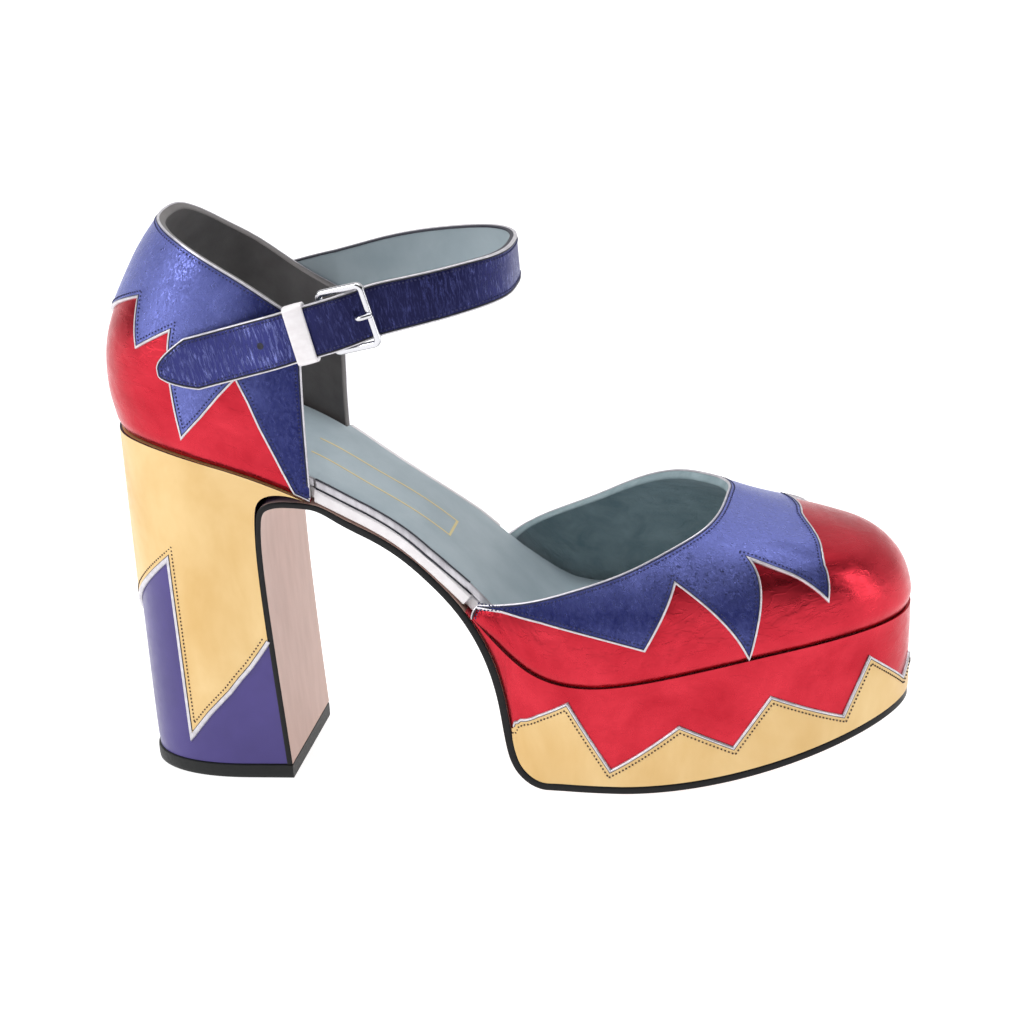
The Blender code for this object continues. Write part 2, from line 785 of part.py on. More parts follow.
def zigzag(rows, places, run, rises=()):
    """Places on both sides and the zigzag's height at each, straight along the surface's run.

    Its own corners are among the places, and so is each spot where it crosses one of the rises.
    """
    corners = [(-row[0], row[1]) for row in reversed(rows)]
    corners += [(row[0], row[-1]) for row in rows if row[0]]
    at = [corner[0] for corner in corners]
    high = [corner[1] for corner in corners]
    spots = np.interp(at, *run)
    fixed = list(at)
    for a, b, p, q in zip(spots, spots[1:], high, high[1:]):
        crossed = [a + (b - a) * (rise - p) / (q - p) for rise in rises if min(p, q) < rise < max(p, q)]
        fixed += [float(np.interp(spot, run[1], run[0])) for spot in crossed]
    fixed = [f for i, f in enumerate(fixed) if i < len(at) or min(abs(f - c) for c in at) > 0.002]
    near = (max(at) - min(at)) / 200
    kept = [p for p in places if all(abs(p - f) > near for f in fixed)]
    places = sorted(kept + fixed)
    return list(zip(places, np.interp(np.interp(places, *run), spots, high)))


HEEL_RISES = (0, 0.1, 0.3, 0.5, 0.7, 0.8, 0.86, 0.9, 0.94, 0.97, 1.0)
PANEL_RISES = (0, 0.45, 0.7, 0.78, 0.82, 0.86, 0.9, 0.95, 1.0)


def build_heel():
    places = seat_places(8, 4)
    set_in = -(PANEL_THICKNESS + GAP) * 0.8
    rings = [[heel_point(u, rise, set_in) for u in places] for rise in HEEL_RISES]
    ring_solid("heel_block", rings, "violet_leather")
    plan = [seat_plan(u, LIFT_BACK_X, LIFT_FRONT_X, LIFT_HALF) for u in places]
    plan = [(x, math.copysign(LIFT_HALF, y) if x > SEAT_CENTRE_X else y) for x, y in plan]
    rings = [[(x, y, z) for x, y in plan] for z in (0, LIFT_THICKNESS)]
    ring_solid("top_lift", rings, "rubber")


def build_heel_panel():
    edge = zigzag(HEEL_PANEL_ROWS, seat_places(7, 5), run_along(heel_point, 2))
    lift = -(PANEL_THICKNESS + GAP) * 0.8
    sheets = []
    for push in (lift + GAP + PANEL_THICKNESS, lift + GAP):
        grid = []
        for u, low in edge:
            grid.append([heel_point(u, max(low, rise), push) for rise in PANEL_RISES])
        sheets.append(np.array(grid))
    sheet_solid("heel_panel", sheets[0], sheets[1], "gold_leather")


def vamp_plan(place, inset=0.0):
    """Feather point of the vamp and the way out of it. Place runs from -1 to 1 round the toe."""
    side = -1 if place < 0 else 1

    def at(p):
        if p < TOE_COLUMNS:
            return np.array(toe_outline(1 - p / TOE_COLUMNS, side, 0))
        x = BALL_X + (VAMP_BACK_X - BALL_X) * (p - TOE_COLUMNS) / (1 - TOE_COLUMNS)
        return np.array([x, side * float(outline_half(x, side))])

    p = abs(place)
    point = at(p)
    if p < 1e-6:
        return point, np.array([1.0, 0.0])
    step = at(min(p + 0.004, 1)) - at(max(p - 0.004, 0))
    outward = unit(np.array([side * step[1], -side * step[0]]))
    return point, outward


RIM = [spline(column(VAMP_RIM_ROWS, i), 0 if i in (1, 3, 4, 6, 7) else None) for i in range(1, 8)]


TOE_PROFILE = spline([(math.sqrt(way), high) for way, high in TOE_PROFILE_ROWS])


def toe_share(p):
    """1 over the toe, fading to 0 along the wings."""
    fade = np.clip((TOE_FADE_END - p) / (TOE_FADE_END - TOE_FADE_START), 0, 1)
    return float(fade * fade * (3 - 2 * fade))


def tuck(height):
    """How far the upper draws in close to its feather line."""
    return TUCK_DEPTH * np.clip(1 - height / TUCK_HEIGHT, 0, 1) ** 2


def vamp_point(place, rise):
    """A point on the outside of the vamp, from its feather line to its rim."""
    side = -1 if place < 0 else 1
    p = abs(place)
    reach, width, lift = [float(f(p)) for f in (RIM[0:3] if side < 0 else RIM[3:6])]
    arc = math.radians(float(RIM[6](p)))
    foot, outward = vamp_plan(place)
    foot_z = float(feather_height(foot[0]))
    ball = BALL_HALF_OUTER if side < 0 else BALL_HALF_INNER
    rim_x = VAMP_BACK_X + reach * (THROAT_X - VAMP_BACK_X)
    rim_y = side * width * ball + THROAT_SWING * (1 - p) ** 2
    rim_z = PLATFORM_HEIGHT + lift * TOE_BOX_HEIGHT
    inwards = (1 - math.cos(arc * rise)) / (1 - math.cos(arc))
    upwards = (math.sin(arc * rise) / math.sin(arc)) ** WING_FULLNESS
    toe = toe_share(p)
    upwards = upwards * (1 - toe) + float(TOE_PROFILE(math.sqrt(inwards))) * toe
    z = foot_z + (rim_z - foot_z) * upwards
    x = foot[0] + (rim_x - foot[0]) * inwards
    y = foot[1] + (rim_y - foot[1]) * inwards
    drawn = float(tuck(z - foot_z)) * min(1, (rim_z - foot_z) / TUCK_FADE)
    return np.array([x - drawn * outward[0], y - drawn * outward[1], z])


def counter_section(z):
    """Back, centre and half width of the quarter's outline at one height."""
    share = float(np.clip((z - HEEL_HEIGHT) / COUNTER_HEIGHT, 0, 1))
    bulge, lean, width = [float(f(share)) for f in COUNTER_SHAPE]
    back_x = SEAT_BACK_X - COUNTER_BULGE * bulge + COUNTER_LEAN * lean
    return share, back_x, SEAT_CENTRE_X + CENTRE_SHIFT * lean, SEAT_HALF * width


def quarter_outline(u, z):
    """Plan point of the quarter at one height."""
    share, back_x, centre_x, half = counter_section(z)
    return seat_plan(u, back_x, WING_FRONT_X + WING_LEAN * share, half, centre_x)


QUARTER_TOP = [spline(column(QUARTER_TOP_ROWS, i)) for i in (1, 2)]


def topline_height(u):
    """Height of the quarter's topline, found by steps because its reach changes with its height."""
    back_x = SEAT_BACK_X + COUNTER_LEAN
    front_x = WING_FRONT_X + WING_LEAN
    z = HEEL_HEIGHT + COUNTER_HEIGHT
    for _ in range(TOPLINE_STEPS):
        reach = (quarter_outline(u, z)[0] - back_x) / (front_x - back_x)
        share = float(QUARTER_TOP[0 if u < 0 else 1](reach))
        z = (z + HEEL_HEIGHT + share * COUNTER_HEIGHT) / 2
    return z


def quarter_point(u, rise):
    """A point on the outside of the quarter, from its feather line to its topline."""
    foot_x = quarter_outline(u, 0)[0]
    foot_z = float(feather_height(foot_x))
    z = foot_z + (topline_height(u) - foot_z) * rise
    x, y = quarter_outline(u, z)
    drawn = float(tuck(z - foot_z))
    if drawn:
        ahead = np.array(quarter_outline(min(u + 0.02, 2), z))
        step = ahead - np.array(quarter_outline(max(u - 0.02, -2), z))
        outward = unit(np.array([-step[1], step[0]]))
        x, y = x - drawn * outward[0], y - drawn * outward[1]
    return np.array([x, y, z])


def outward_normal(surface, place, rise, level=False):
    """Outward normal of a surface at one place and rise."""
    along = surface(place + 0.003, rise) - surface(place - 0.003, rise)
    up = surface(place, min(rise + 0.01, 1)) - surface(place, max(rise - 0.01, 0))
    normal = np.cross(up, along)
    if level:
        normal[2] = 0
    return unit(normal)


def wall_solid(name, surface, places, finish, way):
    """A hollow wall inwards from a surface whose lowest row lies on the feather line."""
    grid = [[surface(p, rise) for rise in UPPER_RISES] for p in places]
    normals = [[outward_normal(surface, p, rise, rise == 0) for rise in UPPER_RISES] for p in places]
    grid, normals = np.array(grid), np.array(normals) * way
    return sheet_solid(name, grid, grid - normals * WALL, finish)


UPPER_RISES = (0, 0.06, 0.14, 0.28, 0.44, 0.62, 0.81, 1.0)


def vamp_places():
    side = list(np.linspace(1, TOE_COLUMNS, 8)[:-1]) + list(np.linspace(TOE_COLUMNS, 0, 15)[:-1])
    return [-p for p in side] + [0.0] + side[::-1]


def build_upper():
    wall_solid("vamp", vamp_point, vamp_places(), "red_leather", -1)
    wall_solid("quarter", quarter_point, seat_places(11, 6), "red_leather", 1)


def overlay_solid(name, surface, places, rows, finish, way):
    """A thin sheet on the upper from its rim down to a zigzag, in facets that match the upper's."""
    grid, normals = [], []
    for place, low in zigzag(rows, places, run_along(surface, max(places)), UPPER_RISES[1:-1]):
        rises = [max(low, rise) for rise in UPPER_RISES]
        grid.append([surface(place, rise) for rise in rises])
        normals.append([outward_normal(surface, place, rise) for rise in rises])
    grid, normals = np.array(grid), np.array(normals) * way
    return sheet_solid(name, grid + normals * (GAP + OVERLAY_THICKNESS), grid + normals * GAP, finish)


def build_overlays():
    overlay_solid("vamp_collar", vamp_point, vamp_places(), VAMP_COLLAR_ROWS, "blue_leather", -1)
    places = seat_places(11, 6)
    overlay_solid("quarter_overlay", quarter_point, places, QUARTER_OVERLAY_ROWS, "blue_leather", 1)


def band_point(station, side, share, push):
    """A point on the platform's side. Station runs from 0 at its back by 1 at the ball to 2."""
    if station <= 1:
        x = BAND_BACK_X + station * (BALL_X - BAND_BACK_X)
        return platform_wall(x, None, side, share, push)
    return platform_wall(BALL_X, station - 1, side, share, push)


def band_side(station, share):
    """The platform's side with the outer side's stations below 0."""
    return band_point(abs(station), -1 if station < 0 else 1, share, 0)


def build_platform_band():
    stations = [i / 10 for i in range(10)] + [1 + i / 12 for i in range(13)]
    edge = zigzag(BAND_ROWS, [-s for s in stations] + stations, run_along(band_side, 2))
    outer = [(-s, -1, high) for s, high in edge if s <= 0]
    inner = [(s, 1, high) for s, high in edge if s >= 0]
    ways = sorted(outer) + sorted(inner, reverse=True)[1:]
    sheets = []
    for push in (GAP + BAND_THICKNESS - PLATFORM_SET_IN, GAP - PLATFORM_SET_IN):
        grid = []
        for station, side, high in ways:
            grid.append([band_point(station, side, high * k / 3, push) for k in range(4)])
        sheets.append(np.array(grid))
    sheet_solid("platform_band", sheets[0], sheets[1], "gold_leather")


def layer_rings(low, high, inset, cover):
    """Rings of a layer over the last's bottom, between two heights square to the feather line."""
    places = list(np.linspace(SEAT_BACK_X, WING_FRONT_X, 12)[1:]) + [WING_FRONT_X + BED_CLEAR]
    open_end = VAMP_BACK_X - 2 * BED_CLEAR - bed_lean(VAMP_BACK_X) * high
    open_places = list(np.linspace(WING_FRONT_X + 2 * BED_CLEAR, open_end, 15))
    back = [open_end + BED_CLEAR] + list(np.linspace(open_end + BED_STEP, BALL_X, 10))
    wall = cover + inset
    rings = []

    def ring(x, outer, inner):
        fall, share = bed_lean(x), lean_share(x)
        rise = (1 - share * fall**2) / math.sqrt(1 - fall**2)
        z = float(feather_height(x))
        sides = ((outer, low), (inner, low), (inner, high), (outer, high))
        rings.append([(x + share * fall * height, y, z + height * rise) for y, height in sides])

    for u in np.linspace(0, 1, 9)[:-1]:
        x, y = seat_plan(u, SEAT_BACK_X + wall, WING_FRONT_X, SEAT_HALF - wall)
        ring(x, -y, y)
    for x in [p for p in places if p >= SEAT_CENTRE_X]:
        ring(x, *(s * (float(outline_half(x, s)) - wall) for s in (-1, 1)))
    for x in open_places:
        ring(x, *(s * (float(outline_half(x, s)) - inset) for s in (-1, 1)))
    for x in back:
        ring(x, *(s * (float(outline_half(x, s)) - wall) for s in (-1, 1)))
    for turn in np.linspace(0, 1, 10)[1:]:
        (x, outer), (_, inner) = (toe_outline(turn, s, wall) for s in (-1, 1))
        ring(x, outer, inner)
    return rings


def bed_lean(x):
    """Sine of the feather line's fall at one place."""
    slope = float(feather_height(x + 0.1) - feather_height(x - 0.1)) / 0.2
    return -slope / math.hypot(1, slope)


def lean_share(x):
    """0 inside the quarter, rising to 1 along the waist, where the layers stand square to the slope."""
    return float(np.clip((x - WING_FRONT_X) / LEAN_RUN, 0, 1))


def build_insole():
    cover = TUCK_DEPTH + WALL + GAP
    rings = layer_rings(BOARD_LIFT, BOARD_LIFT + BOARD_THICKNESS, 0.0, cover)
    ring_solid("insole_board", rings, "silver_leather")
    start = BOARD_LIFT + BOARD_THICKNESS + GAP
    rings = layer_rings(start, start + INSOLE_THICKNESS, INSOLE_INSET, cover - INSOLE_OVER)
    ring_solid("sock_insole", rings, "insole_leather")


def wall_half(x, z, side):
    """Half width of the quarter's outside at one place and height."""
    _, back_x, centre_x, half = counter_section(z)
    outline = float(outline_half(np.clip(x, SEAT_CENTRE_X, WING_FRONT_X), side)) / SEAT_HALF
    along = max(0.0, (centre_x - x) / (centre_x - back_x))
    return half * outline * max(0.0, 1 - along**SEAT_FULLNESS) ** (1 / SEAT_FULLNESS)


STRAP_SHARE = spline(STRAP_ROWS)
STRAP_LIFT = spline(STRAP_LIFT_ROWS, 0, 0)
STRAP_BED = GAP + OVERLAY_THICKNESS + GAP + STRAP_THICKNESS / 2
STRAP_STAND = TAB_THICKNESS + KEEPER_THICKNESS + 2 * GAP
BUCKLE_REACH = (BUCKLE_LENGTH - BUCKLE_BAR) / 2


def strap_height(x):
    share = (x - STRAP_TIP_X) / (STRAP_FRONT_X - STRAP_TIP_X)
    return STRAP_TIP_Z + float(STRAP_SHARE(share)) * (STRAP_FRONT_Z - STRAP_TIP_Z) / 0.97


def strap_slope(x):
    return math.atan((strap_height(x + 1) - strap_height(x - 1)) / 2)


def strap_half(x):
    """Half of the strap's width, which narrows from the buckle to the front."""
    share = np.clip((x - BUCKLE_X) / (STRAP_FRONT_X - BUCKLE_X), 0, 1)
    return (STRAP_WIDTH + (STRAP_FRONT_WIDTH - STRAP_WIDTH) * float(share)) / 2


def strap_stations():
    """Places along the strap: (x, share of the loop's width, side)."""
    made = [(x, None, -1) for x in np.linspace(STRAP_TIP_X, WING_FRONT_X, 15)]
    for side, count in ((-1, 26), (1, 16)):
        turns = np.linspace(0, 1, count)[1:]
        loop = []
        for turn in turns:
            across, along = full_round(turn * math.pi / 2, STRAP_LOOP_FULLNESS)
            loop.append((WING_FRONT_X + along * (STRAP_FRONT_X - WING_FRONT_X), float(across), side))
        made += loop if side < 0 else loop[-2::-1]
    made += [(x, None, 1) for x in np.linspace(WING_FRONT_X, STRAP_END_X, 6)]
    return made


def strap_bed(x, across, side, z):
    """How far out the strap's middle layer lies."""
    half = wall_half(x, z, side) + STRAP_BED
    if across is not None:
        half *= across
    if side < 0:
        half += float(STRAP_LIFT((x - BUCKLE_X + BUCKLE_REACH) / BUCKLE_LENGTH)) * STRAP_STAND
    return side * half


def strap_lines(share_rows):
    """Lines of points along the strap's middle layer, one for each share of its width."""
    lines = [[] for _ in share_rows]
    for x, across, side in strap_stations():
        half = strap_half(x)
        if side < 0 and x < STRAP_TIP_X + STRAP_POINT_LENGTH:
            share = (x - STRAP_TIP_X) / STRAP_POINT_LENGTH
            half *= 0.12 + 0.88 * math.sqrt(share) ** 1.2
        slope = strap_slope(x) * (1 if across is None else min(1, across * 1.5))
        for line, share in zip(lines, share_rows):
            z = strap_height(x) + half * share * math.cos(slope)
            place = x - half * share * math.sin(slope)
            line.append((place, strap_bed(place, across, side, z), z))
    return [np.array(line) for line in lines]


def buckle_frame_axes():
    """Middle of the buckle's inner bar, the way to the outer bar, the strap's way up, and out."""
    slope = strap_slope(BUCKLE_X)
    z = strap_height(BUCKLE_X)
    bed = wall_half(WING_FRONT_X, z, -1) + GAP + OVERLAY_THICKNESS + GAP + TAB_THICKNESS / 2 + GAP
    reach = 2 * BUCKLE_REACH
    along = unit(np.array([reach * math.cos(slope), -BUCKLE_TILT, reach * math.sin(slope)]))
    up = np.array([-math.sin(slope), 0, math.cos(slope)])
    out = unit(np.cross(along, up))
    if out[1] > 0:
        out = -out
    middle = np.array([BUCKLE_X, -bed - BUCKLE_TILT / 2, z])
    return middle - along * BUCKLE_REACH, along, up, out


def strip_solid(name, line, up, width, thickness, finish):
    """A flat strip along a line of points, with its width along one way."""
    line = np.asarray(line, float)
    steps = unit(np.gradient(line, axis=0))
    rings = []
    for centre, step in zip(line, steps):
        face = unit(np.cross(step, up)) * thickness / 2
        side = up * width / 2
        rings.append([centre - face - side, centre + face - side, centre + face + side, centre - face + side])
    return ring_solid(name, rings, finish)


def loop_solid(name, rings, finish):
    """A solid through rings of points that close on themselves."""
    rings = np.asarray(rings, float)
    count, size = rings.shape[:2]
    faces = []
    for i in range(count):
        n = (i + 1) % count
        for j in range(size):
            k = (j + 1) % size
            faces.append([i * size + j, n * size + j, n * size + k, i * size + k])
    return solid(name, rings.reshape(-1, 3), faces, finish)


def rounded_loop(half_long, half_wide, corner, steps):
    """Points and outward ways round a rectangle with rounded corners."""
    made = []
    for quarter, (a, b) in enumerate(((1, 1), (-1, 1), (-1, -1), (1, -1))):
        for i in range(steps):
            turn = math.pi / 2 * (quarter + i / (steps - 1))
            way = (math.cos(turn), math.sin(turn))
            made.append(((a * (half_long - corner) + corner * way[0],
                          b * (half_wide - corner) + corner * way[1]), way))
    return made


def cut(target, cutter):
    """Cut one object out of another and remove it."""
    change = target.modifiers.new("cut", "BOOLEAN")
    change.operation = "DIFFERENCE"
    change.solver = "EXACT"
    change.object = cutter
    bpy.context.view_layer.update()
    graph = bpy.context.evaluated_depsgraph_get()
    mesh = bpy.data.meshes.new_from_object(target.evaluated_get(graph))
    target.modifiers.clear()
    target.data = mesh
    bpy.data.objects.remove(cutter)


def build_strap():
    low, middle, high = strap_lines((-1, 0, 1))
    tangent = unit(np.gradient(middle, axis=0))
    out = unit(np.cross(tangent, high - low))
    out[np.sum(out * [0, 1, 0], axis=1) * np.sign(middle[:, 1]) < -0.2] *= -1
    if out[0][1] > 0:
        out = -out
    half = out * STRAP_THICKNESS / 2
    rings = np.stack([low + half, middle + half, high + half, high - half, middle - half, low - half], 1)
    strap = ring_solid("ankle_strap", rings, "blue_leather")
    start, along, up, away = buckle_frame_axes()
    place = PUNCH_PLACE * BUCKLE_LENGTH
    way = along * math.sin(PUNCH_ANGLE) + away * math.cos(PUNCH_ANGLE)
    hole_line = [start + along * place + way * k * PUNCH_DEPTH for k in (-1, 1)]
    cutter = tube_solid("strap_hole", hole_line, PUNCH_RADIUS, 10, "rubber")
    cut(strap, cutter)


def build_buckle():
    start, along, up, away = buckle_frame_axes()
    centre = start + along * BUCKLE_REACH
    radius = BUCKLE_BAR / 2
    rings = []
    wide = (BUCKLE_WIDTH - BUCKLE_BAR) / 2
    for (p, q), way in rounded_loop(BUCKLE_REACH, wide, BUCKLE_CORNER - radius, 4):
        spot = centre + along * p + up * q
        side = along * way[0] + up * way[1]
        turns = [2 * math.pi * i / 8 for i in range(8)]
        rings.append([spot + radius * (math.cos(t) * side + math.sin(t) * away) for t in turns])
    loop_solid("buckle_frame", rings, "steel")

    ring = BUCKLE_BAR / 2 + GAP + PRONG_THICKNESS / 2
    turns = [math.radians(d) for d in range(60, 271, 30)]
    line = [(ring * math.cos(t), ring * math.sin(t)) for t in turns]
    line += [(p * BUCKLE_LENGTH, n * BUCKLE_BAR / 2) for p, n in PRONG_ROWS]
    line = [start + along * p + away * n for p, n in line]
    sides = 8
    steps = unit(np.gradient(np.array(line), axis=0))
    rings = []
    for i, (spot, step) in enumerate(zip(line, steps)):
        face = unit(np.cross(step, up))
        size = PRONG_THICKNESS / 2 * (0.45 if i in (0, len(line) - 1) else 1)
        turns = [2 * math.pi * k / sides for k in range(sides)]
        rings.append([spot + size * (math.cos(t) * face + math.sin(t) * up) for t in turns])
    ring_solid("buckle_prong", rings, "steel")

    bend = BUCKLE_BAR / 2 + GAP + TAB_THICKNESS / 2
    turns = [math.radians(d) for d in range(-96, 97, 24)]
    size = BUCKLE_BAR / 2
    line = [(p, 0.0) for p in np.linspace(-TAB_LENGTH, -TAB_BEND_START, 4)]
    line += [(p * size, n * size) for p, n in TAB_BEND_ROWS]
    line += [(bend * math.cos(t), bend * math.sin(t)) for t in turns]
    line += [(p * size, n * size) for p, n in TAB_END_ROWS]
    path = []
    for p, n in line:
        spot = start + along * p + away * n
        if p < -TAB_BEND_START + GAP:
            flat = wall_half(min(spot[0], WING_FRONT_X), spot[2], -1) + GAP + OVERLAY_THICKNESS + GAP
            spot[1] = -(flat + TAB_THICKNESS / 2 + GAP)
        path.append(spot)
    tab = strip_solid("buckle_tab", path, up, TAB_WIDTH, TAB_THICKNESS, "blue_leather")
    slot_line = [start + along * p for p in (-TAB_SLOT_START, BUCKLE_REACH)]
    cut(tab, strip_solid("slot", slot_line, up, TAB_SLOT, BUCKLE_REACH, "rubber"))


def build_keeper():
    low, middle, high = strap_lines((-1, 0, 1))
    outer = [i for i, point in enumerate(middle) if point[1] < 0 and point[0] < BUCKLE_X + BUCKLE_LENGTH]

    def on(line, x):
        return np.array([np.interp(x, line[outer, 0], line[outer, k]) for k in range(3)])

    spot = on(middle, KEEPER_X)
    reach = KEEPER_WIDTH / 2
    along = unit(on(middle, KEEPER_X + reach) - on(middle, KEEPER_X - reach))
    up = on(high, KEEPER_X - reach / 2) - on(low, KEEPER_X + reach / 2)
    up = unit(up - along * np.dot(up, along))
    out = np.cross(along, up)
    if out[1] > 0:
        out = -out
    inner = (STRAP_THICKNESS / 2 + GAP, STRAP_WIDTH / 2 + GAP)
    rings = []
    for (p, q), way in rounded_loop(*inner, 0.25, 3):
        point = spot + out * p + up * q
        thick = (out * way[0] + up * way[1]) * KEEPER_THICKNESS
        half = along * KEEPER_WIDTH / 2
        rings.append([point - half, point + half, point + half + thick, point - half + thick])
    loop_solid("strap_keeper", rings, "silver_leather")


def main():
    for old in list(bpy.data.objects):
        bpy.data.objects.remove(old)
    build_outsole()
    build_platform()
    build_platform_band()
    build_heel()
    build_heel_panel()
    build_insole()
    build_upper()
    build_overlays()
    build_strap()
    build_buckle()
    build_keeper()


main()
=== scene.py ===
import math

import bmesh
import bpy
import numpy as np
from mathutils import Matrix


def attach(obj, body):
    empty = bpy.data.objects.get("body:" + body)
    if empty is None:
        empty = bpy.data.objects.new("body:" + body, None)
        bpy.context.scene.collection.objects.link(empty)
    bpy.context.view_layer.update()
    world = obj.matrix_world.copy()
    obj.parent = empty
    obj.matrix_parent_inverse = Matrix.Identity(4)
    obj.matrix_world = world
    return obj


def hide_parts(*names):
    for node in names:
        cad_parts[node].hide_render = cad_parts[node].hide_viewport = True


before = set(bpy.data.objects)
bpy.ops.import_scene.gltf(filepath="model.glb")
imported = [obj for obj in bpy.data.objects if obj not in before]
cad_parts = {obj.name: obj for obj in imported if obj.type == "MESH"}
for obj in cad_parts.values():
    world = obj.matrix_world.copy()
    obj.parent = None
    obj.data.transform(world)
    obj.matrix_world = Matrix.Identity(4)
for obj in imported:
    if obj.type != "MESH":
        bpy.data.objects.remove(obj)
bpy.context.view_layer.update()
mm = 0.001  # sizes below are in millimetres

print("camera")
cameraSet = {
    "place": (0.31459, -1.13436, 0.47130),  # metres
    "azimuth": 11.4,
    "elevation": 19.0,
    "roll": 4.0,
    "lens": 150.0,
}


def stand(thing, spot, right, up, ahead):
    # Puts a camera or a lamp in the scene, facing ahead
    turn = Matrix([[right[i], up[i], -ahead[i]] for i in range(3)]).to_4x4()
    thing.matrix_world = Matrix.Translation(spot) @ turn
    bpy.context.scene.collection.objects.link(thing)


def addCamera():
    data = bpy.data.cameras.new("camera")
    data.lens = cameraSet["lens"]
    data.sensor_width = 36.0
    data.clip_start = 0.01
    camera = bpy.data.objects.new("camera", data)
    a, e, r = (math.radians(cameraSet[key]) for key in ("azimuth", "elevation", "roll"))
    ahead = np.array([-math.sin(a) * math.cos(e), math.cos(a) * math.cos(e), -math.sin(e)])
    level = np.array([math.cos(a), math.sin(a), 0.0])
    upright = np.cross(level, ahead)
    right = math.cos(r) * level - math.sin(r) * upright
    up = math.sin(r) * level + math.cos(r) * upright
    stand(camera, cameraSet["place"], right, up, ahead)
    bpy.context.scene.camera = camera


addCamera()

# The last, as the part's source has it
last = {
    "gap": 0.3,
    "seatBack": -26.4,
    "length": 225.4,
    "heelHeight": 100.3,
    "platformHeight": 32.7,
    "toeLift": 10.0,
    "seatCentre": 8.0,
    "ball": 125.0,
    "seatHalf": 28.5,
    "waistHalf": (22.8, 22.0),  # outer, inner
    "ballHalf": (37.0, 41.0),
    "toeSwing": 6.0,
    "seatFullness": 2.2,
    "toeFullness": 2.15,
}
lastTip = last["seatBack"] + last["length"]

featherRows = (
    # station, share of the rise from platform to heel, share of the toe lift
    (0.0, 1.037, 0.0),
    (0.034, 1.031, 0.0),
    (0.068, 1.015, 0.0),
    (0.11, 0.982, 0.0),
    (0.152, 0.941, 0.0),
    (0.218, 0.857, 0.0),
    (0.267, 0.771, 0.0),
    (0.304, 0.692, 0.0),
    (0.364, 0.563, 0.0),
    (0.41, 0.44, 0.0),
    (0.455, 0.297, 0.0),
    (0.498, 0.15, 0.0),
    (0.53, 0.063, 0.0),
    (0.563, 0.017, 0.0),
    (0.606, 0.0, 0.0),
    (0.664, 0.0, 0.12),
    (0.722, 0.0, 0.36),
    (0.779, 0.0, 0.6),
    (0.836, 0.0, 0.8),
    (0.89, 0.0, 0.92),
    (0.943, 0.0, 1.0),
    (1.0, 0.0, 1.03),
)
outlineRows = (
    # station from the seat's centre to the ball, share of seat, waist and ball
    (0.0, 1.0, 0.0, 0.0),
    (0.103, 0.95, 0.05, 0.0),
    (0.214, 0.66, 0.34, 0.0),
    (0.316, 0.2, 0.8, 0.0),
    (0.419, 0.0, 1.0, 0.0),
    (0.513, 0.0, 0.84, 0.16),
    (0.598, 0.0, 0.59, 0.41),
    (0.684, 0.0, 0.36, 0.64),
    (0.786, 0.0, 0.16, 0.84),
    (0.889, 0.0, 0.04, 0.96),
    (1.0, 0.0, 0.0, 1.0),
)


def unit(v):
    v = np.asarray(v, float)
    return v / np.maximum(np.linalg.norm(v, axis=-1, keepdims=True), 1e-12)


def lengths(points):
    # Running length along a line of points
    return np.concatenate([[0], np.cumsum(np.linalg.norm(np.diff(points, axis=0), axis=1))])


def spline(rows, start=None, end=None):
    # A smooth curve through the rows, with its slope given at an end or left free there
    x = np.array([row[0] for row in rows], float)
    y = np.array([row[1] for row in rows], float)
    step = np.diff(x)
    rise = np.diff(y) / step
    count = len(x)
    matrix = np.zeros((count, count))
    right = np.zeros(count)
    for i in range(1, count - 1):
        matrix[i, i - 1 : i + 2] = step[i - 1], 2 * (step[i - 1] + step[i]), step[i]
        right[i] = 6 * (rise[i] - rise[i - 1])
    matrix[0, 0] = matrix[-1, -1] = 1
    if start is not None:
        matrix[0, :2] = 2 * step[0], step[0]
        right[0] = 6 * (rise[0] - start)
    if end is not None:
        matrix[-1, -2:] = step[-1], 2 * step[-1]
        right[-1] = 6 * (end - rise[-1])
    bend = np.linalg.solve(matrix, right)

    def value(at):
        at = np.clip(np.asarray(at, float), x[0], x[-1])
        i = np.clip(np.searchsorted(x, at) - 1, 0, count - 2)
        h = step[i]
        a = (x[i + 1] - at) / h
        b = (at - x[i]) / h
        return a * y[i] + b * y[i + 1] + ((a**3 - a) * bend[i] + (b**3 - b) * bend[i + 1]) * h * h / 6

    return value


def column(rows, number):
    return [(row[0], row[number]) for row in rows]


def fullRound(angle, fullness):
    c, s = np.cos(angle), np.sin(angle)
    size = (np.abs(c) ** fullness + np.abs(s) ** fullness) ** (-1 / fullness)
    return c * size, s * size


heelShare = spline(column(featherRows, 1))
toeShare = spline(column(featherRows, 2))
outlineShares = [spline(column(outlineRows, i), 0, 0) for i in (1, 2, 3)]


def featherHeight(x):
    share = (np.asarray(x, float) - last["seatBack"]) / last["length"]
    rise = last["heelHeight"] - last["platformHeight"]
    return last["platformHeight"] + heelShare(share) * rise + toeShare(share) * last["toeLift"]


def featherSlope(x):
    return float(featherHeight(x + 0.1) - featherHeight(x - 0.1)) / 0.2


def underFeather(x):
    return float(featherHeight(x)) - last["gap"] * math.hypot(1, featherSlope(x))


def outlineHalf(x, side):
    share = (np.asarray(x, float) - last["seatCentre"]) / (last["ball"] - last["seatCentre"])
    inner = 0 if side < 0 else 1
    halves = (last["seatHalf"], last["waistHalf"][inner], last["ballHalf"][inner])
    return sum(half * weight(share) for half, weight in zip(halves, outlineShares))


def toeOutline(turn, side, inset):
    across, along = fullRound(turn * math.pi / 2, last["toeFullness"])
    ball = last["ballHalf"][0 if side < 0 else 1]
    x = last["ball"] + (lastTip - last["ball"] - inset) * along
    return x, side * (ball - inset) * across + last["toeSwing"] * along**2


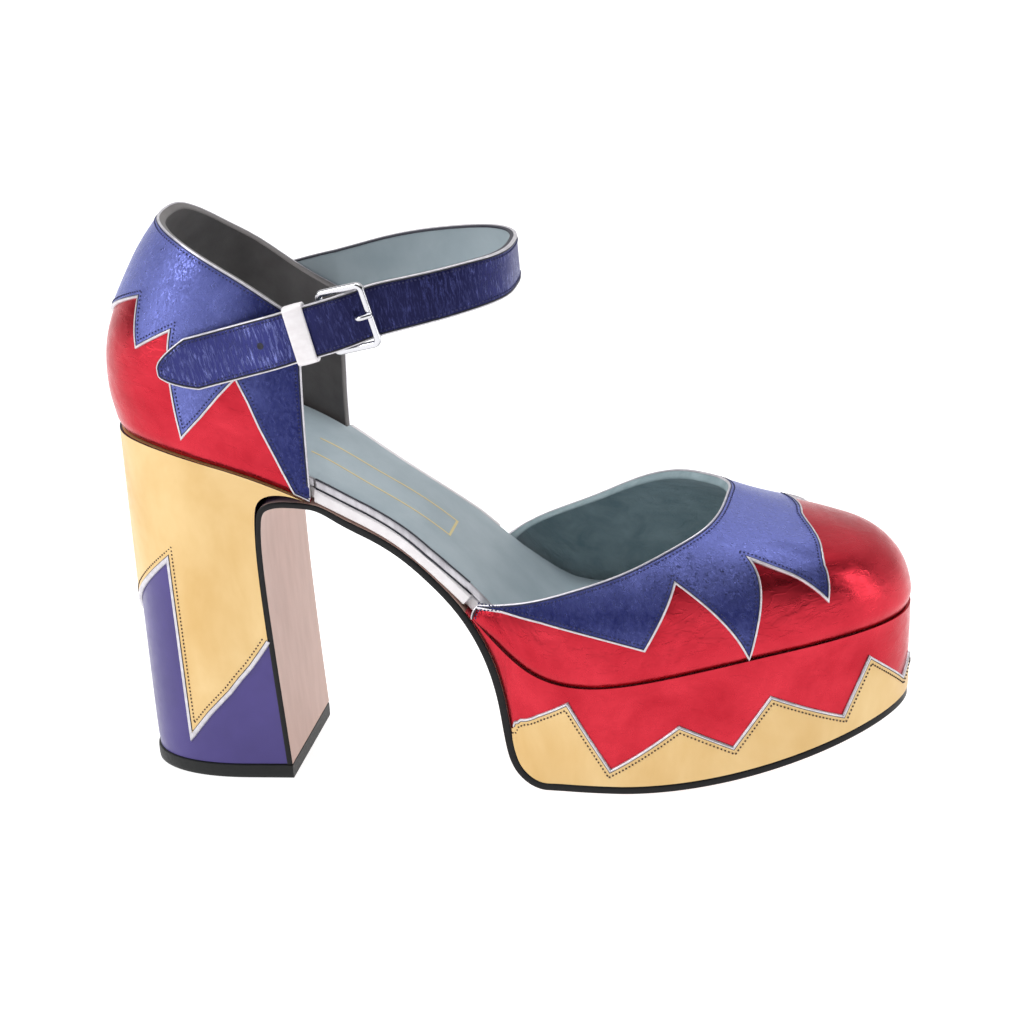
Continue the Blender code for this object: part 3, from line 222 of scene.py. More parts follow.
def seatPlan(u, backX, frontX, half, centreX=None):
    # u goes from -2 at the outer front, by 0 at the back, to 2
    centreX = last["seatCentre"] if centreX is None else centreX
    side = -1 if u < 0 else 1
    if abs(u) <= 1:
        along, across = fullRound(abs(u) * math.pi / 2, last["seatFullness"])
        x = centreX - (centreX - backX) * along
        y = side * half * across * float(outlineHalf(max(x, last["seatCentre"]), side))
        return x, y / last["seatHalf"]
    x = centreX + (abs(u) - 1) * (frontX - centreX)
    return x, side * half * float(outlineHalf(x, side)) / last["seatHalf"]


class Surface:
    # A grid of points with outward normals, read by place and rise
    def __init__(self, point, places, rises, way, level=False):
        self.places = np.asarray(places, float)
        self.rises = np.asarray(rises, float)
        self.points = np.array([[point(p, r) for r in self.rises] for p in self.places])
        along = np.gradient(self.points, self.places, axis=0)
        up = np.gradient(self.points, self.rises, axis=1)
        if level:
            up = np.zeros_like(up) + [0, 0, 1]
        self.normals = unit(np.cross(along, up)) * way
        steps = np.linalg.norm(np.diff(self.points, axis=0), axis=2).mean(axis=1)
        around = np.concatenate([[0], np.cumsum(steps)])
        steps = np.linalg.norm(np.diff(self.points, axis=1), axis=2)
        high = np.concatenate([np.zeros((len(self.places), 1)), np.cumsum(steps, axis=1)], axis=1)
        self.flat = np.stack([np.repeat(around[:, None], len(self.rises), 1), high], axis=2)
        self.run = lengths(self.points[:, np.searchsorted(self.rises, 0.5), :2])

    def along(self, place):
        return np.interp(place, self.places, self.run)

    def read(self, grid, place, rise):
        place, rise = np.broadcast_arrays(np.asarray(place, float), np.asarray(rise, float))
        place = np.clip(place, self.places[0], self.places[-1])
        rise = np.clip(rise, self.rises[0], self.rises[-1])
        i = np.clip(np.searchsorted(self.places, place) - 1, 0, len(self.places) - 2)
        j = np.clip(np.searchsorted(self.rises, rise) - 1, 0, len(self.rises) - 2)
        a = ((place - self.places[i]) / (self.places[i + 1] - self.places[i]))[..., None]
        b = ((rise - self.rises[j]) / (self.rises[j + 1] - self.rises[j]))[..., None]
        low = grid[i, j] * (1 - a) + grid[i + 1, j] * a
        high = grid[i, j + 1] * (1 - a) + grid[i + 1, j + 1] * a
        return low * (1 - b) + high * b

    def normal(self, place, rise):
        return unit(self.read(self.normals, place, rise))

    def at(self, place, rise, push=0.0):
        push = np.asarray(push, float)[..., None]
        return self.read(self.points, place, rise) + self.normal(place, rise) * push

    def texture(self, place, rise):
        return self.read(self.flat, place, rise)


print("finishes")
finishes = {}


def setStops(ramp, stops):
    # stops are (place, shade), where a shade is a colour or one grey value
    while len(ramp.elements) < len(stops):
        ramp.elements.new(0.5)
    for element, (place, shade) in zip(ramp.elements, stops):
        element.position = place
        element.color = (*(shade if isinstance(shade, tuple) else (shade,) * 3), 1)


class Finish:
    # One node material. Its textures read the piece's flattened surface, in millimetres
    def __init__(self, name, colour, roughness, metallic=0.0, **more):
        made = bpy.data.materials.new(name)
        made.use_nodes = True
        made.diffuse_color = (*colour, 1)
        self.tree = made.node_tree
        self.shader = self.tree.nodes["Principled BSDF"]
        self.set("Base Color", (*colour, 1))
        self.set("Roughness", roughness)
        self.set("Metallic", metallic)
        for key, value in more.items():
            self.set(key.replace("_", " "), value)
        self.spot = self.tree.nodes.new("ShaderNodeUVMap").outputs["UV"]
        self.bumpEnd = None
        finishes[name] = made

    def set(self, socket, value):
        self.shader.inputs[socket].default_value = value

    def fill(self, socket, value):
        if isinstance(value, bpy.types.NodeSocket):
            self.tree.links.new(value, socket)
        else:
            socket.default_value = value

    def node(self, kind, **sockets):
        made = self.tree.nodes.new("ShaderNode" + kind)
        for socket, value in sockets.items():
            self.fill(made.inputs[socket], value)
        return made

    def noise(self, scale, detail=3.0, rough=0.55, twist=0.0, seed=0.0):
        # scale is waves in a millimetre, round and up the piece
        move = self.node("Mapping", Vector=self.spot, Scale=(*scale, 1), Location=(seed, seed * 0.7, seed))
        texture = self.node("TexNoise", Vector=move.outputs["Vector"], Scale=1.0, Detail=detail,
                            Roughness=rough, Distortion=twist)
        return texture.outputs["Fac"]

    def ramp(self, source, *stops):
        node = self.node("ValToRGB", Fac=source)
        setStops(node.color_ramp, stops)
        return node.outputs["Color"]

    def maths(self, operation, a, b):
        node = self.node("Math")
        node.operation = operation
        self.fill(node.inputs[0], a)
        self.fill(node.inputs[1], b)
        return node.outputs["Value"]

    def mix(self, share, a, b):
        node = self.node("Mix")
        node.data_type = "RGBA"
        self.fill(node.inputs[0], share)
        for socket, value in ((node.inputs[6], a), (node.inputs[7], b)):
            self.fill(socket, (*value, 1) if isinstance(value, tuple) else value)
        return node.outputs[2]

    def stretch(self, axis, start, end):
        # Share of the way from start to end, in millimetres, along an axis of the shoe, which places the
        # painted light and shade of the blues and the strap
        split = self.node("SeparateXYZ", Vector=self.node("TexCoord").outputs["Object"])
        past = self.maths("SUBTRACT", split.outputs[axis], start * mm)
        return self.maths("DIVIDE", past, (end - start) * mm)

    def colour(self, source):
        self.fill(self.shader.inputs["Base Color"], source)

    def rough(self, source):
        self.fill(self.shader.inputs["Roughness"], source)

    def cloud(self, noise, dark, light):
        self.colour(self.ramp(noise, (0.3, dark), (0.7, light)))

    def gloss(self, noise, low, high):
        self.rough(self.ramp(noise, (0.3, low), (0.7, high)))

    def bump(self, source, depth):
        # depth is in millimetres
        node = self.node("Bump", Strength=1.0, Distance=depth * mm, Height=source)
        if self.bumpEnd:
            self.fill(node.inputs["Normal"], self.bumpEnd)
        self.bumpEnd = node.outputs["Normal"]
        self.fill(self.shader.inputs["Normal"], self.bumpEnd)


bluePaintedLight = (
    # overlay, axis, from and to in millimetres, and the painted light and shade along it, dark to light
    ("blueFoil", "X", -26.0, 36.0, ((0.0, 1.0), (0.42, 0.85), (0.66, 0.40), (0.82, 0.06), (1.0, 0.0))),
    ("blueFoilVamp", "Z", 38.0, 76.0, ((0.0, 0.0), (0.22, 0.22), (0.42, 0.0), (0.60, 0.22), (0.85, 1.0))),
)

# painted light and shade along the strap, from and to in millimetres: painted light at the tip, painted shade
# past the loop, painted light at the front turn
strapPaintedLight = (-15.0, 95.0, ((0.0, 0.8), (0.40, 1.0), (0.52, 0.15), (0.80, 0.0), (0.93, 0.25), (1.0, 1.0)))


def makeFinishes():
    red = Finish("redFoil", (0.56, 0.024, 0.040), 0.27, 0.90)
    cloud = red.noise((0.045, 0.05), 4, 0.6, 0.4)
    red.cloud(cloud, (0.42, 0.013, 0.026), (0.60, 0.032, 0.052))
    red.gloss(red.noise((0.25, 0.25), 4, 0.6, 0.0, 3), 0.22, 0.36)
    red.bump(red.noise((1.4, 1.4), 2), 0.014)
    red.bump(red.noise((0.09, 0.12), 2, 0.5, 0.5, 9), 0.28)
    red.bump(red.ramp(red.noise((0.16, 0.30), 3, 0.5, 1.0, 4), (0.46, 0.0), (0.50, 1.0), (0.54, 0.0)), 0.020)

    # one blue for each overlay, with its own stretches of painted light and painted shade
    for name, way, start, end, stops in bluePaintedLight:
        blue = Finish(name, (0.12, 0.15, 0.50), 0.30, 0.90)
        cracks = blue.ramp(blue.noise((1.3, 0.7), 5, 0.65, 1.2), (0.43, 0.0), (0.50, 1.0), (0.57, 0.0))
        cloud = blue.noise((0.07, 0.07), 4, 0.6, 0.5, 7)
        small = blue.ramp(blue.noise((0.8, 0.5), 5, 0.65, 0.6, 5), (0.35, 0.0), (0.65, 1.0))
        uneven = blue.maths("MULTIPLY", blue.maths("SUBTRACT", cloud, 0.5), 0.35)
        # painted light and shade by place: lighter at the quarter's back and the vamp's crest, darker at the
        # wing front and low on the vamp, made uneven by the cloud
        toneAndPaintedLight = blue.ramp(blue.maths("ADD", blue.stretch(way, start, end), uneven), *stops)
        # dark navy for the painted shade, lilac for the painted light
        ground = blue.mix(toneAndPaintedLight, (0.011, 0.015, 0.090), (0.190, 0.220, 0.600))
        ground = blue.mix(blue.maths("MULTIPLY", small, 0.12), ground, (0.230, 0.265, 0.660))
        blue.colour(blue.mix(blue.maths("MULTIPLY", cracks, 0.35), ground, (0.024, 0.028, 0.150)))
        blue.rough(blue.ramp(small, (0.0, 0.38), (1.0, 0.25)))
        blue.bump(cracks, -0.04)
        blue.bump(blue.noise((0.8, 0.6), 4, 0.6, 0.5, 2), 0.08)

    navy = Finish("navyFoil", (0.035, 0.040, 0.20), 0.34, 0.78)
    scratch = navy.ramp(navy.noise((1.5, 0.22), 5, 0.7, 0.9), (0.50, 0.0), (0.60, 1.0))
    toneAndPaintedLight = navy.ramp(navy.noise((0.05, 0.10), 3, 0.6, 0.4, 6), (0.35, 0.15), (0.65, 1.0))
    start, end, stops = strapPaintedLight
    # painted light and shade along the strap, on its ground colour and on its lighter crackle lines
    shade = navy.ramp(navy.stretch("X", start, end), *stops)
    ground = navy.mix(shade, (0.012, 0.013, 0.065), (0.040, 0.045, 0.200))
    light = navy.mix(shade, (0.045, 0.052, 0.190), (0.230, 0.260, 0.640))
    navy.colour(navy.mix(navy.maths("MULTIPLY", scratch, toneAndPaintedLight), ground, light))
    navy.rough(navy.ramp(scratch, (0.0, 0.42), (1.0, 0.27)))
    navy.bump(scratch, 0.10)
    navy.bump(navy.noise((1.2, 0.8), 4, 0.6, 0.5, 3), 0.08)

    violet = Finish("violetLeather", (0.045, 0.028, 0.200), 0.34, 0.15, Coat_Weight=0.2, Coat_Roughness=0.25)
    soft = violet.noise((0.04, 0.04), 3)
    violet.cloud(soft, (0.036, 0.022, 0.165), (0.056, 0.036, 0.225))
    violet.gloss(violet.noise((0.3, 0.3), 3), 0.30, 0.40)
    violet.bump(violet.noise((2.0, 2.0), 3), 0.02)

    gold = Finish("goldLeather", (0.76, 0.52, 0.22), 0.38, 0.25)
    soft = gold.noise((0.05, 0.03), 4, 0.55, 0.3)
    gold.cloud(soft, (0.69, 0.44, 0.16), (0.82, 0.59, 0.28))
    gold.gloss(gold.noise((0.3, 0.3), 3), 0.32, 0.44)
    gold.bump(gold.noise((1.8, 1.8), 3), 0.02)

    silver = Finish("silverLeather", (0.60, 0.58, 0.62), 0.34, 0.6)
    silver.cloud(silver.noise((0.5, 0.5), 3), (0.52, 0.50, 0.54), (0.70, 0.68, 0.72))
    silver.bump(silver.noise((1.5, 1.5), 3), 0.02)

    pale = Finish("paleLeather", (0.84, 0.81, 0.83), 0.36, 0.15)
    pale.cloud(pale.noise((0.3, 0.3), 3), (0.80, 0.76, 0.78), (0.88, 0.85, 0.87))
    pale.bump(pale.noise((1.5, 1.5), 3), 0.02)

    insole = Finish("insoleLeather", (0.34, 0.41, 0.45), 0.50, 0.0, Sheen_Weight=0.1)
    cloud = insole.noise((0.06, 0.06), 4, 0.6, 0.3)
    insole.cloud(cloud, (0.30, 0.37, 0.41), (0.39, 0.46, 0.50))
    insole.bump(insole.noise((1.6, 1.6), 4), 0.03)

    inside = Finish("vampLining", (0.24, 0.32, 0.35), 0.62, 0.0, Sheen_Weight=0.15)
    cloud = inside.noise((0.10, 0.12), 5, 0.6, 0.8)
    inside.cloud(cloud, (0.18, 0.26, 0.285), (0.30, 0.39, 0.42))
    inside.bump(inside.noise((0.22, 0.3), 4, 0.6, 0.8), 0.45)
    inside.bump(inside.noise((1.4, 1.4), 3), 0.03)

    dark = Finish("quarterLining", (0.13, 0.12, 0.12), 0.60, 0.0, Sheen_Weight=0.15)
    dark.cloud(dark.noise((0.1, 0.1), 4), (0.105, 0.095, 0.094), (0.150, 0.138, 0.137))
    dark.bump(dark.noise((1.2, 1.2), 4), 0.04)

    sole = Finish("soleLeather", (0.56, 0.37, 0.31), 0.40)
    sole.cloud(sole.noise((0.06, 0.2), 4), (0.52, 0.34, 0.28), (0.60, 0.41, 0.35))
    sole.bump(sole.noise((1.4, 1.4), 3), 0.02)

    black = Finish("blackEdge", (0.006, 0.006, 0.007), 0.42, 0.0, Specular_IOR_Level=0.25)
    black.gloss(black.noise((0.5, 0.5), 3), 0.36, 0.50)
    black.bump(black.noise((1.5, 1.5), 3), 0.02)

    rubber = Finish("blackRubber", (0.009, 0.010, 0.010), 0.50, 0.0, Specular_IOR_Level=0.3)
    rubber.gloss(rubber.noise((0.8, 0.8), 3), 0.42, 0.58)
    rubber.bump(rubber.noise((2.5, 2.5), 3), 0.03)

    steel = Finish("polishedSteel", (0.62, 0.62, 0.65), 0.10, 1.0)
    steel.gloss(steel.noise((0.4, 3.0), 3), 0.10, 0.20)
    steel.bump(steel.noise((0.6, 4.0), 2), 0.004)

    for name, colour in (("darkThread", (0.060, 0.026, 0.014)), ("blueThread", (0.014, 0.016, 0.085))):
        fibre = Finish(name, colour, 0.55)
        fibre.bump(fibre.noise((3.0, 6.0), 2), 0.04)

    # dark dyed edges and seams; beside the panels' piping it also paints the piping's contact shadow
    line = Finish("edgeDye", (0.022, 0.022, 0.036), 0.42, 0.0, Specular_IOR_Level=0.3)
    line.bump(line.noise((1.5, 1.5), 2), 0.02)

    stamp = Finish("goldStamp", (0.72, 0.60, 0.30), 0.36, 0.45)
    stamp.gloss(stamp.noise((1.2, 1.2), 3), 0.30, 0.50)
    stamp.bump(stamp.noise((2.0, 2.0), 3), 0.02)


makeFinishes()


def place(piece, slot, *nodes):
    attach(piece, "root")
    if nodes:
        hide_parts(*nodes)
    return piece


def addMesh(name, points, faces, finish, faceFinish=None, flat=None, sharp=50):
    # finish is one name or several. flat holds each point's place on the flattened piece
    points = np.asarray(points, float).reshape(-1, 3)
    mesh = bpy.data.meshes.new(name)
    mesh.from_pydata((points * mm).tolist(), [], faces)
    for entry in [finish] if isinstance(finish, str) else finish:
        mesh.materials.append(finishes[entry])
    if faceFinish is not None:
        mesh.polygons.foreach_set("material_index", np.asarray(faceFinish, dtype=np.int32))
    layer = mesh.uv_layers.new(name="flat")
    corners = np.zeros(len(mesh.loops), dtype=np.int32)
    mesh.loops.foreach_get("vertex_index", corners)
    if flat is None:
        flat = np.stack([points[:, 0] + points[:, 1] * 0.35, points[:, 2] + points[:, 1] * 0.6], axis=1)
    layer.data.foreach_set("uv", np.asarray(flat, float).reshape(-1, 2)[corners].ravel())
    shape = bmesh.new()
    shape.from_mesh(mesh)
    bmesh.ops.remove_doubles(shape, verts=shape.verts, dist=0.004 * mm)
    bmesh.ops.dissolve_degenerate(shape, edges=shape.edges, dist=0.002 * mm)
    bmesh.ops.recalc_face_normals(shape, faces=shape.faces)
    shape.to_mesh(mesh)
    shape.free()
    mesh.shade_smooth()
    mesh.set_sharp_from_angle(angle=math.radians(sharp))
    made = bpy.data.objects.new(name, mesh)
    bpy.context.scene.collection.objects.link(made)
    return made


def slab(name, outer, inner, finish, flat=None, sharp=50):
    # A sheet between two grids of points. finish names the outside, the inside and the edges
    rows, columns = outer.shape[:2]
    size = rows * columns
    index = np.arange(size).reshape(rows, columns)
    a, b, c, d = index[:-1, :-1], index[1:, :-1], index[1:, 1:], index[:-1, 1:]
    front = np.stack([a, b, c, d], axis=-1).reshape(-1, 4)
    faces = front.tolist() + (front[:, ::-1] + size).tolist()
    edge = list(index[:, 0]) + list(index[-1, 1:]) + list(index[-2::-1, -1]) + list(index[0, -2:0:-1])
    rim = [[int(p), int(q), int(q) + size, int(p) + size] for p, q in zip(edge, edge[1:] + edge[:1])]
    kinds = [0] * len(front) + [1] * len(front) + [2] * len(rim)
    if flat is not None:
        flat = np.concatenate([flat.reshape(-1, 2), flat.reshape(-1, 2)])
    points = np.concatenate([outer.reshape(-1, 3), inner.reshape(-1, 3)])
    return addMesh(name, points, faces + rim, finish, kinds, flat, sharp)


def loft(name, rings, finish, ringFinish=None, flat=None, closed=False, sharp=50):
    # A solid through rings of points. ringFinish gives the finish of each side of a ring
    rings = np.asarray(rings, float)
    count, size = rings.shape[:2]
    faces, kinds = [], []
    for i in range(count if closed else count - 1):
        n = (i + 1) % count
        for j in range(size):
            k = (j + 1) % size
            faces.append([i * size + j, n * size + j, n * size + k, i * size + k])
            kinds.append(ringFinish[j] if ringFinish else 0)
    if not closed:
        for start in (0, (count - 1) * size):
            for i in range((size - 1) // 2):
                far = size - 1 - i
                faces.append([start + k for k in dict.fromkeys((i, i + 1, far - 1, far))])
                kinds.append(0)
    if flat is None:
        middle = rings.mean(axis=1)
        along, around = lengths(middle), lengths(rings[0])
        flat = np.stack([np.repeat(along[:, None], size, 1), np.repeat(around[None], count, 0)], axis=2)
    return addMesh(name, rings, faces, finish, kinds, flat, sharp)


def lineFrames(points, normals):
    # The way along a line on a surface, and the way across it, longer where the line has a corner
    points = np.asarray(points, float)
    step = unit(np.diff(points, axis=0))
    before = np.concatenate([step[:1], step])
    after = np.concatenate([step, step[-1:]])
    along = unit(before + after)
    across = unit(np.cross(normals, along))
    reach = 1 / np.maximum(np.sum(along * after, axis=1), 0.42)
    return along, across, reach


def ribbon(name, points, normals, profile, finish, way=1):
    # A trim with one cross section, given as (across, out) corners, along a line on a surface
    _, across, reach = lineFrames(points, normals)
    rings = []
    for point, normal, side, far in zip(points, normals, across, reach):
        rings.append([point + side * s * way * far + normal * h for s, h in profile])
    return loft(name, rings, finish, sharp=60)


def flatRibbon(name, points, normals, wide, low, high, finish):
    # A ribbon that lies flat, with slightly sloping edges
    profile = [(-wide, low), (-wide * 0.7, high), (wide * 0.7, high), (wide, low)]
    return ribbon(name, points, normals, profile, finish)


def beside(points, normals, offset):
    # A line beside another one on the surface, without the loops that inner corners would make
    _, across, reach = lineFrames(points, normals)
    moved = points + across * (offset * reach)[:, None]
    gaps = np.linalg.norm(moved[:, None] - points[None], axis=2).min(axis=1)
    keep = gaps > abs(offset) * 0.97
    keep[0] = keep[-1] = True
    return moved[keep], normals[keep]


def resample(points, values, pitch):
    at = lengths(points)
    wanted = np.arange(pitch / 2, at[-1] - pitch / 3, pitch)
    grids = (points, values)
    return [np.stack([np.interp(wanted, at, grid[:, k]) for k in range(3)], axis=1) for grid in grids]


thread = {
    "pitch": 1.15, "long": 0.58, "wide": 0.48, "high": 0.22,
}


def stitches(name, points, normals, finish, lift=0.04):
    spots, ways = resample(points, normals, thread["pitch"])
    step = unit(np.gradient(spots, axis=0))
    ways = unit(ways)
    across = unit(np.cross(ways, step))
    sides = 6
    verts, faces = [], []
    for spot, along, out, side in zip(spots, step, ways, across):
        start = len(verts)
        for far, size in ((-0.5, 0.35), (-0.3, 1.0), (0.3, 1.0), (0.5, 0.35)):
            centre = spot + along * far * thread["long"] + out * lift
            for k in range(sides):
                t = 2 * math.pi * k / sides
                verts.append(centre + side * math.cos(t) * size * thread["wide"] / 2
                             + out * math.sin(t) * size * thread["high"])
        for ring in range(3):
            low, high = start + ring * sides, start + (ring + 1) * sides
            for k in range(sides):
                n = (k + 1) % sides
                faces.append([low + k, high + k, high + n, low + n])
        faces.append([start + k for k in range(sides)])
        faces.append([start + 3 * sides + k for k in range(sides - 1, -1, -1)])
    return addMesh(name, np.array(verts), faces, finish)


def corners(rows):
    # Zigzag corners on both sides. A row may have a height for each side
    made = [(-row[0], row[1]) for row in reversed(rows)]
    return made + [(row[0], row[-1]) for row in rows if row[0]]


def edgeLine(surface, rows, push, spacing=0.8):
    made = []
    at = corners(rows) if len(rows[0]) < 4 else rows
    for (a, p), (b, q) in zip(at, at[1:]):
        ends = surface.at([a, b], [p, q])
        middle = surface.at((a + b) / 2, (p + q) / 2)
        far = np.linalg.norm(ends[0] - middle) + np.linalg.norm(ends[1] - middle)
        count = max(int(far / spacing), 2)
        share = np.arange(count) / count
        runs = surface.along(a) + (surface.along(b) - surface.along(a)) * share
        spots = np.interp(runs, surface.run, surface.places)
        made += list(zip(spots, p + (q - p) * share))
    made.append(at[-1])
    made = np.array(made)
    return surface.at(made[:, 0], made[:, 1], push), surface.normal(made[:, 0], made[:, 1])


def zigzagSheet(name, surface, rows, finish, low, high, spacing, rowsUp, flip=False):
    # A thin panel on a surface, from its rim down to its zigzag, or from its lower edge up to it
    at = np.array(corners(rows))
    places = np.arange(at[0, 0], at[-1, 0], spacing)
    near = np.abs(places[:, None] - at[None, :, 0]).min(axis=1) > spacing * 0.3
    places = np.sort(np.concatenate([places[near], at[:, 0]]))
    edge = np.interp(surface.along(places), surface.along(at[:, 0]), at[:, 1])
    share = np.linspace(0, 1, rowsUp)
    far = 0.0 if flip else 1.0
    rise = edge[:, None] + (far - edge[:, None]) * share[None]
    spots = np.repeat(places[:, None], rowsUp, 1)
    outer, inner = surface.at(spots, rise, high), surface.at(spots, rise, low)
    return slab(name, outer, inner, [finish, finish, "edgeDye"], surface.texture(spots, rise))


piping = {"wide": 0.50, "over": 0.16, "lip": 0.12, "height": 0.85}
bandPiping = {**piping, "height": 0.7}
heelPiping = {"wide": 1.0, "over": 0.3, "lip": 0.22, "height": 0.7}


def addPiping(name, line, normals, side, sizes):
    # A silver edge round a panel, and the dark line beside it, which is partly a real dark line and partly
    # painted shadow of the piping. side is the way off the panel
    wide, over, lip, height = (sizes[key] for key in ("wide", "over", "lip", "height"))
    profile = [(-over, -height * 0.9), (-over, lip), (0.15 * wide, lip * 1.35), (0.6 * wide, lip * 0.9),
               (0.92 * wide, -0.15), (wide, -height * 0.5), (wide, -height * 0.96)]
    place(ribbon(name, line, normals, profile, "silverLeather", side), "silver_leather")
    # a dark line on the panel beside the piping, partly a real dark line and partly painted contact shadow of
    # the piping
    near, ways = beside(line, normals, -(over + 0.1) * side)
    place(flatRibbon(name + "Line", near, ways, 0.14, -0.1, 0.09, "edgeDye"), "blue_leather")


def addSeam(name, line, normals, offset, finish="blueThread", lift=0.0):
    near, ways = beside(line, normals, offset)
    slot = "gold_leather" if finish == "darkThread" else "blue_leather"
    place(stitches(name + "Stitches", near + ways * lift, ways, finish), slot)


def addPanel(node, name, label, surface, rows, finish, levels, grid, seam, sizes=piping, flip=False):
    # A zigzag panel with its piping and stitches. levels are its inside and outside, off the surface
    low, high = levels
    spacing, rowsUp = grid
    gold = finish == "goldLeather"
    slot, threads = ("gold_leather", "darkThread") if gold else ("blue_leather", "blueThread")
    sheet = zigzagSheet(name + "Leather", surface, rows, finish, low, high, spacing * fine, rowsUp, flip=flip)
    place(sheet, slot, node)
    line, normals = edgeLine(surface, rows, high)
    side = -1 if seam > 0 else 1
    trimmed = slice(2, -2) if flip else slice(None)  # clear of the corners behind
    addPiping(label + "Piping", line[trimmed], normals[trimmed], side, sizes)
    addSeam(label, line, normals, seam, threads)


print("upper")
upper = {
    "wall": 1.8,
    "leather": 1.0,
    "vampBack": 78.0,
    "throat": 148.6,
    "throatSwing": 1.0,
    "toeBox": 46.0,
    "toeColumns": 0.67,
    "tuckDepth": 1.4,
    "tuckHeight": 4.5,
    "tuckFade": 12.0,
    "toeFade": (0.28, 0.6),
    "wingFullness": 0.92,
    "counterHeight": 63.2,
    "counterBulge": 2.3,
    "counterLean": 17.5,
    "centreShift": 12.0,
    "wingFront": 33.5,
    "wingLean": 1.4,
    "overlay": (0.12, 0.85),  # how far its inside and outside stand off the red leather
}

vampRimRows = (
    # place, outer reach, width and rise, inner reach, width and rise, arc in degrees
    (0.0, 1.0, 0.0, 1.0, 1.0, 0.0, 1.0, 78),
    (0.15, 0.997, 0.24, 0.985, 0.965, 0.22, 0.992, 77),
    (0.3, 0.98, 0.5, 0.963, 0.88, 0.4, 0.978, 74),
    (0.42, 0.928, 0.7, 0.924, 0.755, 0.585, 0.948, 70),
    (0.54, 0.807, 0.835, 0.843, 0.62, 0.72, 0.883, 63),
    (0.67, 0.616, 0.9, 0.713, 0.48, 0.8, 0.789, 55),
    (0.78, 0.41, 0.885, 0.602, 0.34, 0.82, 0.698, 50),
    (0.88, 0.234, 0.83, 0.52, 0.19, 0.79, 0.622, 45),
    (0.95, 0.113, 0.79, 0.49, 0.085, 0.745, 0.557, 42),
    (1.0, 0.03, 0.755, 0.475, 0.02, 0.7, 0.5, 40),
)
vampCollarRows = (
    # place, outer height, inner height
    (0.0, 0.75, 0.75),
    (0.03, 0.744, 0.753),
    (0.06, 0.73, 0.756),
    (0.09, 0.71, 0.758),
    (0.12, 0.684, 0.759),
    (0.15, 0.654, 0.758),
    (0.18, 0.618, 0.755),
    (0.21, 0.577, 0.748),
    (0.24, 0.53, 0.735),
    (0.265, 0.478, 0.716),
    (0.285, 0.42, 0.695),
    (0.325, 0.205, 0.55),
    (0.398, 0.7, 0.28),
    (0.483, 0.015, 0.69),
    (0.567, 0.714, 0.06),
    (0.65, 0.243, 0.66),
    (0.85, 0.686, 0.4),
    (0.94, 0.843, 0.75),
    (1.0, 0.85, 0.8),
)
toeProfileRows = (
    # share of the way in from the feather line to the rim, share of the height
    (0.0, 0.0),
    (0.02, 0.25),
    (0.06, 0.39),
    (0.1, 0.47),
    (0.19, 0.585),
    (0.3, 0.655),
    (0.42, 0.715),
    (0.6, 0.79),
    (0.8, 0.885),
    (1.0, 1.0),
)
counterRows = (
    # share of its height, bulge, lean, width
    (0.0, 0.0, 0.0, 1.0),
    (0.1, 0.3, 0.0, 1.018),
    (0.2, 0.85, 0.0, 1.031),
    (0.29, 1.0, 0.0, 1.033),
    (0.39, 0.87, 0.0, 1.027),
    (0.54, 0.15, 0.04, 1.0),
    (0.72, 0.0, 0.33, 0.96),
    (0.89, 0.0, 0.69, 0.9),
    (1.0, 0.0, 1.0, 0.84),
)
toplineRows = (
    # share of its reach to the wing's front, outer height, inner height
    (0.0, 1.0, 1.0),
    (0.04, 0.997, 0.992),
    (0.08, 0.99, 0.965),
    (0.14, 0.976, 0.922),
    (0.22, 0.954, 0.87),
    (0.3, 0.928, 0.826),
    (0.41, 0.888, 0.774),
    (0.53, 0.84, 0.714),
    (0.67, 0.778, 0.64),
    (0.83, 0.697, 0.568),
    (1.0, 0.605, 0.505),
)
quarterOverlayRows = (
    (0.0, 0.525),
    (0.505, 0.715),
    (0.6, 0.5),
    (0.79, 0.645),
    (0.805, 0.37),
    (0.825, 0.115),
    (0.94, 0.257),
    (1.09, 0.4),
    (1.3, 0.53),
    (1.42, 0.423),
    (1.52, 0.309),
    (1.73, 0.11),
    (1.84, 0.02),
    (2.0, 0.02),
)

rim = [spline(column(vampRimRows, i), 0 if i in (1, 3, 4, 6, 7) else None) for i in range(1, 8)]
counterShape = [spline(column(counterRows, i)) for i in (1, 2, 3)]
topline = [spline(column(toplineRows, i)) for i in (1, 2)]
toeProfile = spline([(math.sqrt(way), high) for way, high in toeProfileRows])


def tuck(height):
    return upper["tuckDepth"] * np.clip(1 - height / upper["tuckHeight"], 0, 1) ** 2


def vampFoot(p, side):
    if p < upper["toeColumns"]:
        return np.array(toeOutline(1 - p / upper["toeColumns"], side, 0))
    share = (p - upper["toeColumns"]) / (1 - upper["toeColumns"])
    x = last["ball"] + (upper["vampBack"] - last["ball"]) * share
    return np.array([x, side * float(outlineHalf(x, side))])


